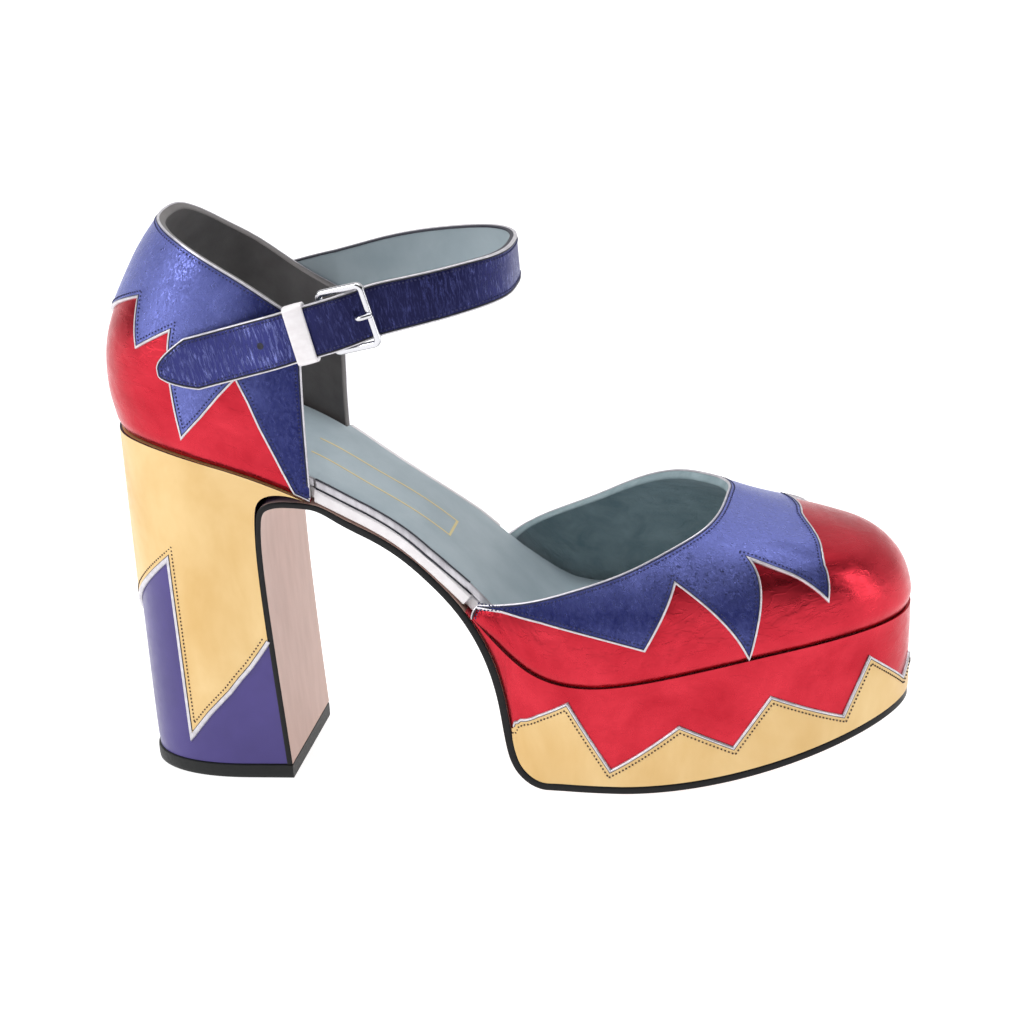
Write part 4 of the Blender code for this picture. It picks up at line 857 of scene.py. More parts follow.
def vampPoint(at, rise):
    side = -1 if at < 0 else 1
    p = abs(at)
    reach, width, lift = [float(f(p)) for f in (rim[0:3] if side < 0 else rim[3:6])]
    arc = math.radians(float(rim[6](p)))
    foot = vampFoot(p, side)
    outward = np.array([1.0, 0.0])
    if p > 1e-6:
        step = vampFoot(min(p + 0.004, 1), side) - vampFoot(max(p - 0.004, 0), side)
        outward = unit([side * step[1], -side * step[0]])
    footZ = float(featherHeight(foot[0]))
    rimX = upper["vampBack"] + reach * (upper["throat"] - upper["vampBack"])
    rimY = side * width * last["ballHalf"][0 if side < 0 else 1] + upper["throatSwing"] * (1 - p) ** 2
    rimZ = last["platformHeight"] + lift * upper["toeBox"]
    inwards = (1 - math.cos(arc * rise)) / (1 - math.cos(arc))
    upwards = (math.sin(arc * rise) / math.sin(arc)) ** upper["wingFullness"]
    fadeStart, fadeEnd = upper["toeFade"]
    fade = min(max((fadeEnd - p) / (fadeEnd - fadeStart), 0), 1)
    toe = fade * fade * (3 - 2 * fade)
    upwards = upwards * (1 - toe) + float(toeProfile(math.sqrt(inwards))) * toe
    z = footZ + (rimZ - footZ) * upwards
    x = foot[0] + (rimX - foot[0]) * inwards
    y = foot[1] + (rimY - foot[1]) * inwards
    drawn = float(tuck(z - footZ)) * min(1, (rimZ - footZ) / upper["tuckFade"])
    return x - drawn * outward[0], y - drawn * outward[1], z


def counterSection(z):
    share = float(np.clip((z - last["heelHeight"]) / upper["counterHeight"], 0, 1))
    bulge, lean, width = [float(f(share)) for f in counterShape]
    backX = last["seatBack"] - upper["counterBulge"] * bulge + upper["counterLean"] * lean
    return share, backX, last["seatCentre"] + upper["centreShift"] * lean, last["seatHalf"] * width


def quarterOutline(u, z):
    share, backX, centreX, half = counterSection(z)
    return seatPlan(u, backX, upper["wingFront"] + upper["wingLean"] * share, half, centreX)


quarterTops = {}


def toplineHeight(u):
    # found by steps, because the topline's reach changes with its height
    backX = last["seatBack"] + upper["counterLean"]
    frontX = upper["wingFront"] + upper["wingLean"]
    z = last["heelHeight"] + upper["counterHeight"]
    for _ in range(14):
        reach = (quarterOutline(u, z)[0] - backX) / (frontX - backX)
        share = float(topline[0 if u < 0 else 1](reach))
        z = (z + last["heelHeight"] + share * upper["counterHeight"]) / 2
    return z


def quarterPoint(u, rise):
    if u not in quarterTops:
        quarterTops[u] = toplineHeight(u)
    footZ = float(featherHeight(quarterOutline(u, 0)[0]))
    z = footZ + (quarterTops[u] - footZ) * rise
    x, y = quarterOutline(u, z)
    drawn = float(tuck(z - footZ))
    if drawn:
        step = np.subtract(quarterOutline(min(u + 0.02, 2), z), quarterOutline(max(u - 0.02, -2), z))
        outward = unit([-step[1], step[0]])
        x, y = x - drawn * outward[0], y - drawn * outward[1]
    return x, y, z


fine = 1
upRises = np.linspace(0, 1, 64 // fine) ** 1.3
vampSkin = Surface(vampPoint, np.linspace(-1, 1, 280 // fine + 1), upRises, 1)
quarterSkin = Surface(quarterPoint, np.linspace(-2, 2, 280 // fine + 1), upRises, -1)


def skinPiece(name, surface, high, low, finish, slot, node):
    spots = np.repeat(surface.places[:, None], len(surface.rises), 1)
    rises = np.repeat(surface.rises[None], len(surface.places), 0)
    outer, inner = surface.at(spots, rises, high), surface.at(spots, rises, low)
    piece = slab(name, outer, inner, [finish, finish, finish], surface.texture(spots, rises))
    return place(piece, slot, node)


bindingProfile = (
    (-0.3, 0.8), (-0.24, 0.97), (0.0, 1.01), (0.18, 0.92), (0.25, 0.65), (0.23, 0.38), (0.05, 0.32)
)
edgeProfile = ((0.05, 0.40), (0.18, 0.34), (0.20, -1.1), (0.10, -1.70), (-0.10, -1.88), (-0.3, -1.80))
rimLine = {"line": 0.55, "stitches": 1.45, "width": 0.17}


def addRim(name, surface, ends, lining, way):
    made = []
    for (a, p), (b, q) in zip(ends, ends[1:]):
        count = max(int(abs(b - a) * 140), 12)
        made += [(a + (b - a) * i / count, p + (q - p) * i / count) for i in range(count)]
    made = np.array(made + [ends[-1]])
    line = surface.at(made[:, 0], made[:, 1])
    normals = surface.normal(made[:, 0], made[:, 1])
    place(ribbon(name + "Binding", line, normals, bindingProfile, "silverLeather", way), "silver_leather")
    # the turned edge of the lining, inside the silver one
    place(ribbon(name + "Edge", line, normals, edgeProfile, lining, way), "insole_leather")
    high = upper["overlay"][1]
    near, ways = beside(line, normals, -rimLine["line"] * way)
    dark = flatRibbon(name + "BindingLine", near + ways * high, ways, rimLine["width"], -0.1, 0.1, "edgeDye")
    place(dark, "blue_leather")
    addSeam(name + "Rim", line, normals, -rimLine["stitches"] * way, lift=high)


def buildUpper(name, surface, lining, foot, way, node, panel, rows, finish, spacing):
    # Leather, lining, zigzag overlay and bound rim of one half of the upper
    skinPiece(name + "Leather", surface, 0.0, -upper["leather"], "redFoil", "red_leather", name)
    inside = -upper["leather"] - 0.02
    skinPiece(name + "Inside", surface, inside, -upper["wall"], lining, "insole_leather", name)
    grid = (spacing, 40 // fine)
    addPanel(node, panel, name, surface, rows, finish, upper["overlay"], grid, 1.25 * way)
    end = surface.places[-1]
    addRim(name, surface, [(-end, foot), (-end, 1.0), (0.0, 1.0), (end, 1.0), (end, foot)], lining, way)


buildUpper("vamp", vampSkin, "vampLining", 0.06, 1, "vamp_collar", "vampCollar", vampCollarRows,
           "blueFoilVamp", 0.006)
buildUpper("quarter", quarterSkin, "quarterLining", 0.03, -1, "quarter_overlay", "quarterOverlay",
           quarterOverlayRows, "blueFoil", 0.012)

print("sole, platform and heel")
sole = {
    "liftBack": -24.5, "liftFront": 21.0, "liftHalf": 24.5, "liftHeight": 4.0, "setback": 2.8,
    "lip": 31.0, "lipEdge": 0.8, "panel": 0.9, "flap": 1.6, "thick": 2.2, "inset": 0.8,
    "toeSpring": 15.0, "archStart": 71.3, "archRun": 24.0, "tread": (102.0, 118.0), "taper": 2.5,
    "bandBack": 87.6,
}
breastRows = (
    # share of its height, share of the setback
    (0.0, 0.0),
    (0.29, 0.47),
    (0.55, 0.83),
    (0.77, 1.0),
    (0.92, 0.8),
    (0.98, 0.2),
    (1.0, -1.2),
    (0.998, -3.0),
)
archRows = (
    # share of the arch's run, share of its height
    (0.0, 1.0),
    (0.23, 0.88),
    (0.49, 0.66),
    (0.62, 0.43),
    (0.68, 0.215),
    (0.78, 0.075),
    (1.0, 0.004),
)
heelPanelRows = (
    (0.0, 0.41),
    (0.645, 0.67),
    (0.665, 0.085),
    (0.8, 0.17),
    (0.93, 0.243),
    (1.35, 0.33),
    (2.0, 0.415),
)
bandRows = (
    (0.0, 0.14),
    (0.03, 0.36),
    (0.08, 0.48),
    (0.225, 0.64),
    (0.46, 0.83),
    (0.757, 0.155),
    (1.1, 0.53),
    (1.233, 0.23),
    (1.333, 0.615),
    (1.55, 0.185),
    (1.65, 0.7),
    (1.883, 0.21),
    (2.0, 0.4),
)


def rearLine(count):
    # The sole's upper side from the foot of the breast, along the waist, to the tread
    footZ = sole["liftHeight"] + last["gap"]
    lipZ = float(featherHeight(sole["lip"])) - sole["lipEdge"]
    frontX = sole["liftFront"] - sole["flap"]
    points = [(frontX - back * sole["setback"], footZ + high * (lipZ - footZ)) for high, back in breastRows]
    for i in range(6):
        x = upper["wingFront"] + 1.5 + i * (sole["archStart"] - upper["wingFront"] - 5) / 5
        points.append((x, underFeather(x)))
    top = underFeather(sole["archStart"])
    for run, high in archRows:
        z = sole["thick"] + high * (top - sole["thick"])
        points.append((sole["archStart"] + run * sole["archRun"], z))
    points.append((sole["tread"][0], sole["thick"]))
    points = np.array(points)
    at = lengths(points)
    along = spline(list(zip(at, points[:, 0])), None, 1)
    high = spline(list(zip(at, points[:, 1])), None, 0)
    ends = np.linspace(0, at[-1], count)
    line = np.stack([along(ends), high(ends)], axis=1)
    flat = line[:, 0] > sole["archStart"]
    line[flat, 1] = np.maximum(line[flat, 1], sole["thick"])
    return line


rear = rearLine(240 // fine)
step = unit(np.gradient(rear, axis=0))
rearNormals = np.stack([-step[:, 1], step[:, 0]], axis=1)


def treadLine(x, inset):
    reach = lastTip - inset - sole["tread"][1]
    share = np.clip((np.asarray(x, float) - sole["tread"][1]) / reach, 0, 1)
    return sole["thick"] + sole["toeSpring"] * share**1.7


def heelHalf(x, z, side):
    top = float(featherHeight(x))
    share = np.clip((z - sole["liftHeight"]) / (top - sole["liftHeight"]), 0, 1)
    wide = last["seatHalf"] if x < last["seatCentre"] else float(outlineHalf(x, side))
    return sole["liftHalf"] + (wide - sole["liftHalf"]) * float(share) ** 1.3


def platformInset(x):
    share = np.clip((x - sole["archStart"]) / (sole["tread"][0] - sole["archStart"]), 0, 1)
    return sole["inset"] + (sole["taper"] - sole["inset"]) * share


def soleRing(x, z, outer, inner, thick, normal=(0, 1), bulge=0.22):
    # One station of the sole, from its upper side down its normal, with rounded edges
    sides = []
    for y, way in ((outer, -1), (inner, 1)):
        edge = []
        for down, out in ((0.0, 0.0), (0.12, 0.75), (0.35, 1.0), (0.65, 1.0), (0.88, 0.75), (1.0, 0.0)):
            edge.append((x - normal[0] * thick * down, y + way * bulge * out, z - normal[1] * thick * down))
        sides.append(edge)
    return sides[0][::-1] + sides[1]


def buildSole():
    share = np.clip((rear[:, 0] - sole["lip"]) / 15, 0, 1)
    share = np.maximum(share, np.clip((rear[:, 1] - 0.8 * last["heelHeight"]) / 8, 0, 1) * 0.5)
    thickness = sole["flap"] + (sole["thick"] - sole["flap"]) * share
    rings = []
    for (x, z), normal, thick in zip(rear, rearNormals, thickness):
        blend = np.clip((x - sole["liftFront"]) / (upper["wingFront"] - sole["liftFront"]), 0, 1)
        halves = []
        for side in (-1, 1):
            breast = heelHalf(min(x, sole["lip"]), z, side)
            waist = float(outlineHalf(x, side)) - platformInset(x)
            halves.append(side * (breast + (waist - breast) * blend))
        rings.append(soleRing(x, z, *halves, thick, normal, 0.2))
    for x in np.linspace(sole["tread"][0], last["ball"], 16)[1:]:
        outer, inner = (s * (float(outlineHalf(x, s)) - sole["taper"]) for s in (-1, 1))
        rings.append(soleRing(x, float(treadLine(x, sole["taper"])), outer, inner, sole["thick"]))
    for turn in np.linspace(0, 1, 61)[1:]:
        (x, outer), (_, inner) = (toeOutline(turn, s, sole["taper"]) for s in (-1, 1))
        rings.append(soleRing(x, float(treadLine(x, sole["taper"])), outer, inner, sole["thick"]))
    kinds = [1] * 5 + [0] + [1] * 5 + [0]
    made = loft("soleLeather", rings, ["soleLeather", "blackEdge"], kinds, sharp=40)
    place(made, "sole_leather", "outsole")


archFloor = spline([(x, z) for x, z in rear[::4] if x > sole["archStart"] - 8])


def platformFloor(x):
    if x >= sole["tread"][0]:
        return float(treadLine(x, sole["taper"])) + 0.1
    slope = (archFloor(x + 0.05) - archFloor(x - 0.05)) / 0.1
    return float(archFloor(x) + 0.1 * math.hypot(1, float(slope)))


def platformWall(station, side, share):
    if station <= 1:
        x = sole["bandBack"] + station * (last["ball"] - sole["bandBack"])
        low = (x, side * (float(outlineHalf(x, side)) - float(platformInset(x))), platformFloor(x))
        high = (x, side * float(outlineHalf(x, side)))
    else:
        low = toeOutline(station - 1, side, sole["taper"])
        high = toeOutline(station - 1, side, 0)
        low = (*low, float(treadLine(low[0], sole["taper"])) + 0.1)
    high = (*high, underFeather(high[0]))
    return np.array(low) * (1 - share) + np.array(high) * share


def wallPoint(q, share):
    # q goes from -2 at the outer rear, by 0 at the toe, to 2 at the inner rear
    side = -1 if q < 0 else 1
    return platformWall(2 - abs(q), side, share)


wallSkin = Surface(wallPoint, np.linspace(-2, 2, 320 // fine + 1), np.linspace(0, 1, 20), 1, True)


def flipBand(rows):
    # Band rows run from the rear forwards, the wall's places from the toe back
    return [(2 - row[0], row[1]) for row in reversed(rows)]


def buildPlatform():
    rises = np.linspace(0, 1, 14)
    behind = [x for x, _ in rear if sole["archStart"] + 4 < x < sole["bandBack"]]
    behind = [x for x in behind if underFeather(x) - platformFloor(x) >= 0.5]
    stations = [(x - sole["bandBack"]) / (last["ball"] - sole["bandBack"]) for x in behind]
    stations += list(np.linspace(0, 1, 60 // fine)) + list(np.linspace(1, 2, 100 // fine)[1:])
    rings = []
    for station in stations:
        ring = []
        for side, order in ((-1, rises), (1, rises[::-1])):
            for share in order:
                point = platformWall(station, side, share)
                if station >= 2 - 1e-6:
                    out = np.array([1.0, 0, 0])
                else:
                    ahead = platformWall(min(station + 0.01, 2), side, share)
                    way = ahead - platformWall(station - 0.01, side, share)
                    out = unit([-side * way[1], side * way[0], 0])
                ring.append(point + out * (-0.55 + 0.3 * math.sin(math.pi * share)))
        rings.append(ring)
    rings = np.array(rings)
    run = lengths(rings[:, 0])
    flat = np.stack(np.broadcast_arrays(run[:, None], rings[:, :, 2]), axis=-1)
    place(loft("platformLeather", rings, "redFoil", flat=flat, sharp=45), "red_leather", "platform")


def buildBand():
    addPanel("platform_band", "platformBand", "band", wallSkin, flipBand(bandRows), "goldLeather",
             (-0.5, 0.28), (0.012, 14), -1.35, bandPiping, True)


def heelFront():
    line = rear + rearNormals * 0.1
    lipX = sole["lip"] + 0.6
    end = next(i for i, spot in enumerate(line) if spot[0] > lipX)
    share = (lipX - line[end - 1][0]) / (line[end][0] - line[end - 1][0])
    line[end] = line[end - 1] + (line[end] - line[end - 1]) * share
    line = line[: end + 1]
    at = lengths(line)
    return line, at / at[-1]


heelLine, heelPlaces = heelFront()


def heelPoint(u, rise):
    foot = sole["liftHeight"] + 0.1
    frontX = float(np.interp(rise, heelPlaces, heelLine[:, 0]))
    frontZ = float(np.interp(rise, heelPlaces, heelLine[:, 1]))
    backZ = foot + (last["heelHeight"] - last["gap"] - foot) * rise
    backX = sole["liftBack"] + (last["seatBack"] - sole["liftBack"]) * rise**0.55
    x, y = seatPlan(u, backX, frontX, 1.0)
    across = (x - backX) / (frontX - backX)
    z = backZ + (frontZ - backZ) * across
    z += (underFeather(x) - z) * np.clip((rise - 0.7) / 0.3, 0, 1) ** 2
    half = heelHalf(max(x, last["seatCentre"]), z, -1 if u < 0 else 1)
    if abs(u) > 1:
        y = math.copysign(1.0, u)
    return x, y * half, z


heelRises = np.linspace(0, 1, 70 // fine) ** 0.8
heelSkin = Surface(heelPoint, np.linspace(-2, 2, 240 // fine + 1), heelRises, -1, True)


def buildHeel():
    spots = heelSkin.places
    rings = [heelSkin.at(spots, np.full_like(spots, rise), -0.5) for rise in heelRises[:-1]]
    flat = np.array([heelSkin.texture(spots, np.full_like(spots, rise)) for rise in heelRises[:-1]])
    block = loft("heelLeather", rings, "violetLeather", flat=flat, sharp=45)
    place(block, "violet_leather", "heel_block")
    top = [heelSkin.at(spots, np.full_like(spots, rise), -0.52) for rise in (heelRises[-2] + 0.002, 1.0)]
    place(loft("heelSeat", top, "goldLeather", sharp=45), "gold_leather")
    addPanel("heel_panel", "heelPanel", "heel", heelSkin, heelPanelRows, "goldLeather", (-0.48, 0.22),
             (0.02, 40), -1.6, heelPiping)


def buildLift():
    edge = ((0.0, -0.25), (0.05, 0.0), (0.3, 0.12), (0.7, 0.15), (0.95, 0.05), (1.0, -0.2))
    rings = []
    for high, out in edge:
        ring = []
        for u in np.linspace(-2, 2, 121):
            x, y = seatPlan(u, sole["liftBack"] - out, sole["liftFront"], sole["liftHalf"] + out)
            if x > last["seatCentre"]:
                y = math.copysign(sole["liftHalf"] + out, y)
            ring.append((x, y, high * sole["liftHeight"]))
        rings.append(ring)
    place(loft("heelTip", rings, "blackRubber", sharp=45), "rubber", "top_lift")


buildSole()
buildPlatform()
buildBand()
buildHeel()
buildLift()

print("insole")
bed = {
    "lift": 0.15,
    "board": 3.2,
    "insole": 2.4,
    "inset": 0.5,
    "leanRun": 11.0,
    "boardShare": 0.45,
    "stamp": (30.0, 64.6, -6.6, 5.2),  # back, front, outer and inner side
}


bedInsetRows = (
    # place along the waist, how far the insole's edge lies inside the sole's, outer and inner
    (33.5, 2.9, 0.6),
    (46.0, 2.7, 0.6),
    (56.0, 1.3, 0.5),
    (62.5, 0.5, 0.5),
    (68.0, 1.3, 1.0),
    (72.0, 2.6, 2.6),
    (75.0, 3.7, 3.9),
    (79.0, 4.4, 4.6),
    (90.0, 3.6, 3.6),
)


def bedInset(x, side, share=1.0):
    line = [row[0] for row in bedInsetRows]
    return share * float(np.interp(x, line, [row[1 if side < 0 else 2] for row in bedInsetRows]))


def bedLean(x):
    # Sine of the feather line's fall
    return -featherSlope(x) / math.hypot(1, featherSlope(x))


def leanShare(x):
    return min(max((x - upper["wingFront"]) / bed["leanRun"], 0), 1)


def bedPoint(x, y, height):
    # height is square to the feather line
    fall, share = bedLean(x), leanShare(x)
    rise = (1 - share * fall**2) / math.sqrt(1 - fall**2)
    return np.array([x + share * fall * height, y, float(featherHeight(x)) + height * rise])


def openEnd(height):
    # Last place on the waist where a layer is as wide as the sole
    return upper["vampBack"] - 0.7 - bedLean(upper["vampBack"]) * height


def layerRings(profile, share, cover):
    # profile holds (outwards, height) from the lower edge round to the upper one
    wingFront, centre = upper["wingFront"], last["seatCentre"]
    wall = cover + bed["inset"] * share
    rings = []

    def ring(x, outer, inner):
        left = [bedPoint(x, outer - out, height) for out, height in profile]
        right = [bedPoint(x, inner + out, height) for out, height in profile]
        middle = [outer + (inner - outer) * k / 8 for k in range(1, 8)]
        top = [bedPoint(x, y, profile[-1][1]) for y in middle]
        rings.append(left + top + right[::-1])

    for u in np.linspace(0, 1, 40)[1:-1]:
        x, y = seatPlan(u, last["seatBack"] + wall, wingFront, last["seatHalf"] - wall)
        ring(x, -y, y)
    for x in np.linspace(centre, wingFront + 0.4, 24):
        ring(x, *(s * (float(outlineHalf(x, s)) - wall) for s in (-1, 1)))
    end = openEnd(profile[-1][1])
    for x in np.linspace(wingFront + 0.8, end, 70):
        ring(x, *(s * (float(outlineHalf(x, s)) - bedInset(x, s, share)) for s in (-1, 1)))
    for x in np.linspace(end + 0.5, last["ball"], 60):
        ring(x, *(s * (float(outlineHalf(x, s)) - max(wall, bedInset(x, s, share))) for s in (-1, 1)))
    for turn in np.linspace(0, 1, 30)[1:-1]:
        (x, outer), (_, inner) = (toeOutline(turn, s, wall) for s in (-1, 1))
        ring(x, outer, inner)
    return rings


def buildInsole():
    cover = upper["tuckDepth"] + upper["wall"] + last["gap"]
    low, high = bed["lift"], bed["lift"] + bed["board"]
    edge = [(-0.4, low), (0.0, low + 0.3), (0.05, (low + high) / 2), (0.0, high - 0.3), (-0.4, high)]
    rings = layerRings(edge, bed["boardShare"], cover)
    place(loft("boardCover", rings, "paleLeather", sharp=45), "silver_leather", "insole_board")
    low = high + last["gap"] * 0.4
    high = bed["lift"] + bed["board"] + last["gap"] + bed["insole"]
    edge = [(-0.5, low), (0.0, low + 0.2), (0.0, high - 0.7), (-0.15, high - 0.25), (-0.6, high)]
    rings = layerRings(edge, 1.0, cover - 0.6)
    kinds = [1] * 3 + [0] * 10 + [1] * 3 + [0]
    top = np.array(rings)
    flat = np.stack([top[..., 0] * 1.2, top[..., 1]], axis=-1)
    piece = loft("insoleCover", rings, ["insoleLeather", "silverLeather"], kinds, flat, sharp=50)
    place(piece, "insole_leather", "sock_insole")


def buildStamp():
    # A plain gold frame on the insole
    high = bed["lift"] + bed["board"] + last["gap"] + bed["insole"] + 0.02
    back, front, low, top = bed["stamp"]
    line = [(x, top) for x in np.linspace(back, front, 40)]
    line += [(front, y) for y in np.linspace(top, low, 16)[1:]]
    line += [(x, low) for x in np.linspace(front, back, 40)[1:]]
    points = np.array([bedPoint(x, y, high) for x, y in line])
    ways = np.array([bedPoint(x, y, high + 1) - bedPoint(x, y, high) for x, y in line])
    profile = [(-0.42, -0.05), (-0.38, 0.03), (0.38, 0.03), (0.42, -0.05)]
    place(ribbon("goldFrame", points, unit(ways), profile, "goldStamp"), "insole_leather")


seamEdge = ((-0.2, -0.3), (-0.18, 0.1), (0.18, 0.1), (0.2, -0.3))
innerEdge = ((-0.1, -1.3), (-0.22, -1.2), (-0.24, 0.1), (0.3, 0.12), (0.35, -0.1))


def edgeRibbons():
    # Dark seams along the insole's edge at the open waist
    top = bed["lift"] + bed["board"] + last["gap"] + bed["insole"]
    for number, (height, out) in enumerate(((top - 0.12, 0.05), (bed["lift"] + bed["board"] + 0.15, 0.25))):
        for side, label in ((-1, "Outer"), (1, "Inner")):
            line = []
            for x in np.linspace(upper["wingFront"] + 0.9, openEnd(height), 60):
                y = side * (float(outlineHalf(x, side)) - bedInset(x, side) + out)
                line.append(bedPoint(x, y, height))
            line = np.array(line)
            ways = np.repeat([[0.0, float(side), 0.0]], len(line), 0)
            silver = side > 0 and number == 0  # the inner side shows its bound edge from above
            shade = "paleLeather" if silver else "edgeDye"
            profile = innerEdge if silver else seamEdge
            seam = ribbon("insoleSeam%d%s" % (number, label), line, ways, profile, shade)
            place(seam, "insole_leather")


buildInsole()
buildStamp()
edgeRibbons()

print("ankle strap and buckle")
strap = {
    "width": 14.6, "thick": 2.0, "tip": (-6.0, 125.6), "front": (91.0, 147.0), "frontWidth": 12.8,
    "end": 8.0, "fullness": 2.8, "point": 10.0, "overlay": 0.9, "hole": 25.0,
}
buckle = {
    "long": 15.6, "wide": 19.4, "bar": 2.0, "corner": 2.6, "place": 49.5, "tilt": 2.7, "prong": 1.5,
}
tab = {"wide": 12.0, "thick": 1.1, "long": 15.0, "slot": 3.0}
keeper = {"place": 36.4, "wide": 5.8, "thick": 1.0}

strapRows = (
    # share of its reach, share of its rise
    (0.0, 0.0),
    (0.1, 0.11),
    (0.24, 0.27),
    (0.37, 0.43),
    (0.48, 0.555),
    (0.63, 0.725),
    (0.82, 0.875),
    (0.95, 0.955),
    (1.0, 0.97),
)
strapLiftRows = (
    # distance before the buckle's inner bar, share of the stand off the wing
    (-50.0, 0.0),
    (-30.0, 0.02),
    (-22.0, 0.52),
    (-13.0, 1.3),
    (-9.0, 1.38),
    (0.0, 1.42),
    (3.0, 1.36),
    (9.0, 0.62),
    (14.0, 0.02),
    (20.0, 0.0),
)
prongRows = (
    # along the frame from its inner bar, outwards
    (3.0, -2.15),
    (6.3, -2.3),
    (7.9, -1.7),
    (9.0, 0.0),
    (9.9, 1.7),
    (11.4, 2.7),
    (13.4, 2.25),
    (15.2, 1.5),
)
strapShare = spline(strapRows)
strapLift = spline(strapLiftRows, 0, 0)
strapBase = last["gap"] + strap["overlay"] + last["gap"] + strap["thick"] / 2
strapStand = tab["thick"] + keeper["thick"] + 2 * last["gap"]
buckleReach = (buckle["long"] - buckle["bar"]) / 2


def strapHeight(x):
    share = (x - strap["tip"][0]) / (strap["front"][0] - strap["tip"][0])
    return strap["tip"][1] + float(strapShare(share)) * (strap["front"][1] - strap["tip"][1]) / 0.97


def strapSlope(x):
    return math.atan((strapHeight(x + 1) - strapHeight(x - 1)) / 2)


def wallHalf(x, z, side):
    _, backX, centreX, half = counterSection(z)
    outline = float(outlineHalf(np.clip(x, last["seatCentre"], upper["wingFront"]), side)) / last["seatHalf"]
    along = max(0.0, (centreX - x) / (centreX - backX))
    return half * outline * max(0.0, 1 - along ** last["seatFullness"]) ** (1 / last["seatFullness"])


def strapHalf(x):
    # It narrows from the buckle to the front
    share = min(max((x - buckle["place"]) / (strap["front"][0] - buckle["place"]), 0), 1)
    return (strap["width"] + (strap["frontWidth"] - strap["width"]) * share) / 2


def strapStations():
    wing, front = upper["wingFront"], strap["front"][0]
    tipX = strap["tip"][0]
    point = [tipX + strap["point"] * t**2 for t in np.linspace(0, 1, 14)]
    made = [(x, None, -1) for x in point[:-1] + list(np.linspace(tipX + strap["point"], wing, 40))]
    for side, count in ((-1, 110), (1, 90)):
        loop = []
        for turn in np.linspace(0, 1, count)[1:]:
            across, along = fullRound(turn * math.pi / 2, strap["fullness"])
            loop.append((wing + along * (front - wing), float(across), side))
        made += loop if side < 0 else loop[-2::-1]
    made += [(x, None, 1) for x in np.linspace(wing, strap["end"], 24)]
    return made


def strapGrid(shares):
    # Points of the strap's middle layer, a row across it for each station
    grid = []
    for x, across, side in strapStations():
        half = strapHalf(x)
        if side < 0 and x < strap["tip"][0] + strap["point"]:
            share = (x - strap["tip"][0]) / strap["point"]
            half *= 0.12 + 0.88 * math.sqrt(share) ** 1.2
        slope = strapSlope(x) * (1 if across is None else min(1, across * 1.5))
        row = []
        for share in shares:
            z = strapHeight(x) + half * share * math.cos(slope)
            at = x - half * share * math.sin(slope)
            out = wallHalf(at, z, side) + strapBase
            if across is not None:
                out *= across
            if side < 0:
                out += float(strapLift(at - buckle["place"] + buckleReach)) * strapStand
            row.append((at, side * out, z))
        grid.append(row)
    return np.array(grid)


def strapSpot(x):
    # Middle of the strap's outer face on the outer side, with its axes
    grid = strapGrid(np.array([-1, 0, 1]))
    outer = [i for i, point in enumerate(grid[:, 1]) if point[1] < 0 and point[0] < strap["front"][0] - 20]

    def on(column_, x):
        line = grid[outer, column_]
        return np.array([np.interp(x, line[:, 0], line[:, k]) for k in range(3)])

    along = unit(on(1, x + 2) - on(1, x - 2))
    up = on(2, x) - on(0, x)
    up = unit(up - along * np.dot(up, along))
    out = np.cross(along, up)
    out *= -1 if out[1] > 0 else 1
    return on(1, x) + out * strap["thick"] / 2, along, up, out


def buildHoles():
    # The free hole between the tip and the loop
    spot, along, up, out = strapSpot(strap["hole"])
    rings = []
    for radius, high in ((0.95, -0.3), (0.98, 0.05), (0.84, 0.07), (0.75, 0.03), (0.05, 0.03)):
        turns = [2 * math.pi * k / 24 for k in range(24)]
        rings.append([spot + radius * (along * math.cos(t) + up * math.sin(t)) + out * high for t in turns])
    place(loft("strapHole", rings, "edgeDye", sharp=60), "blue_leather")


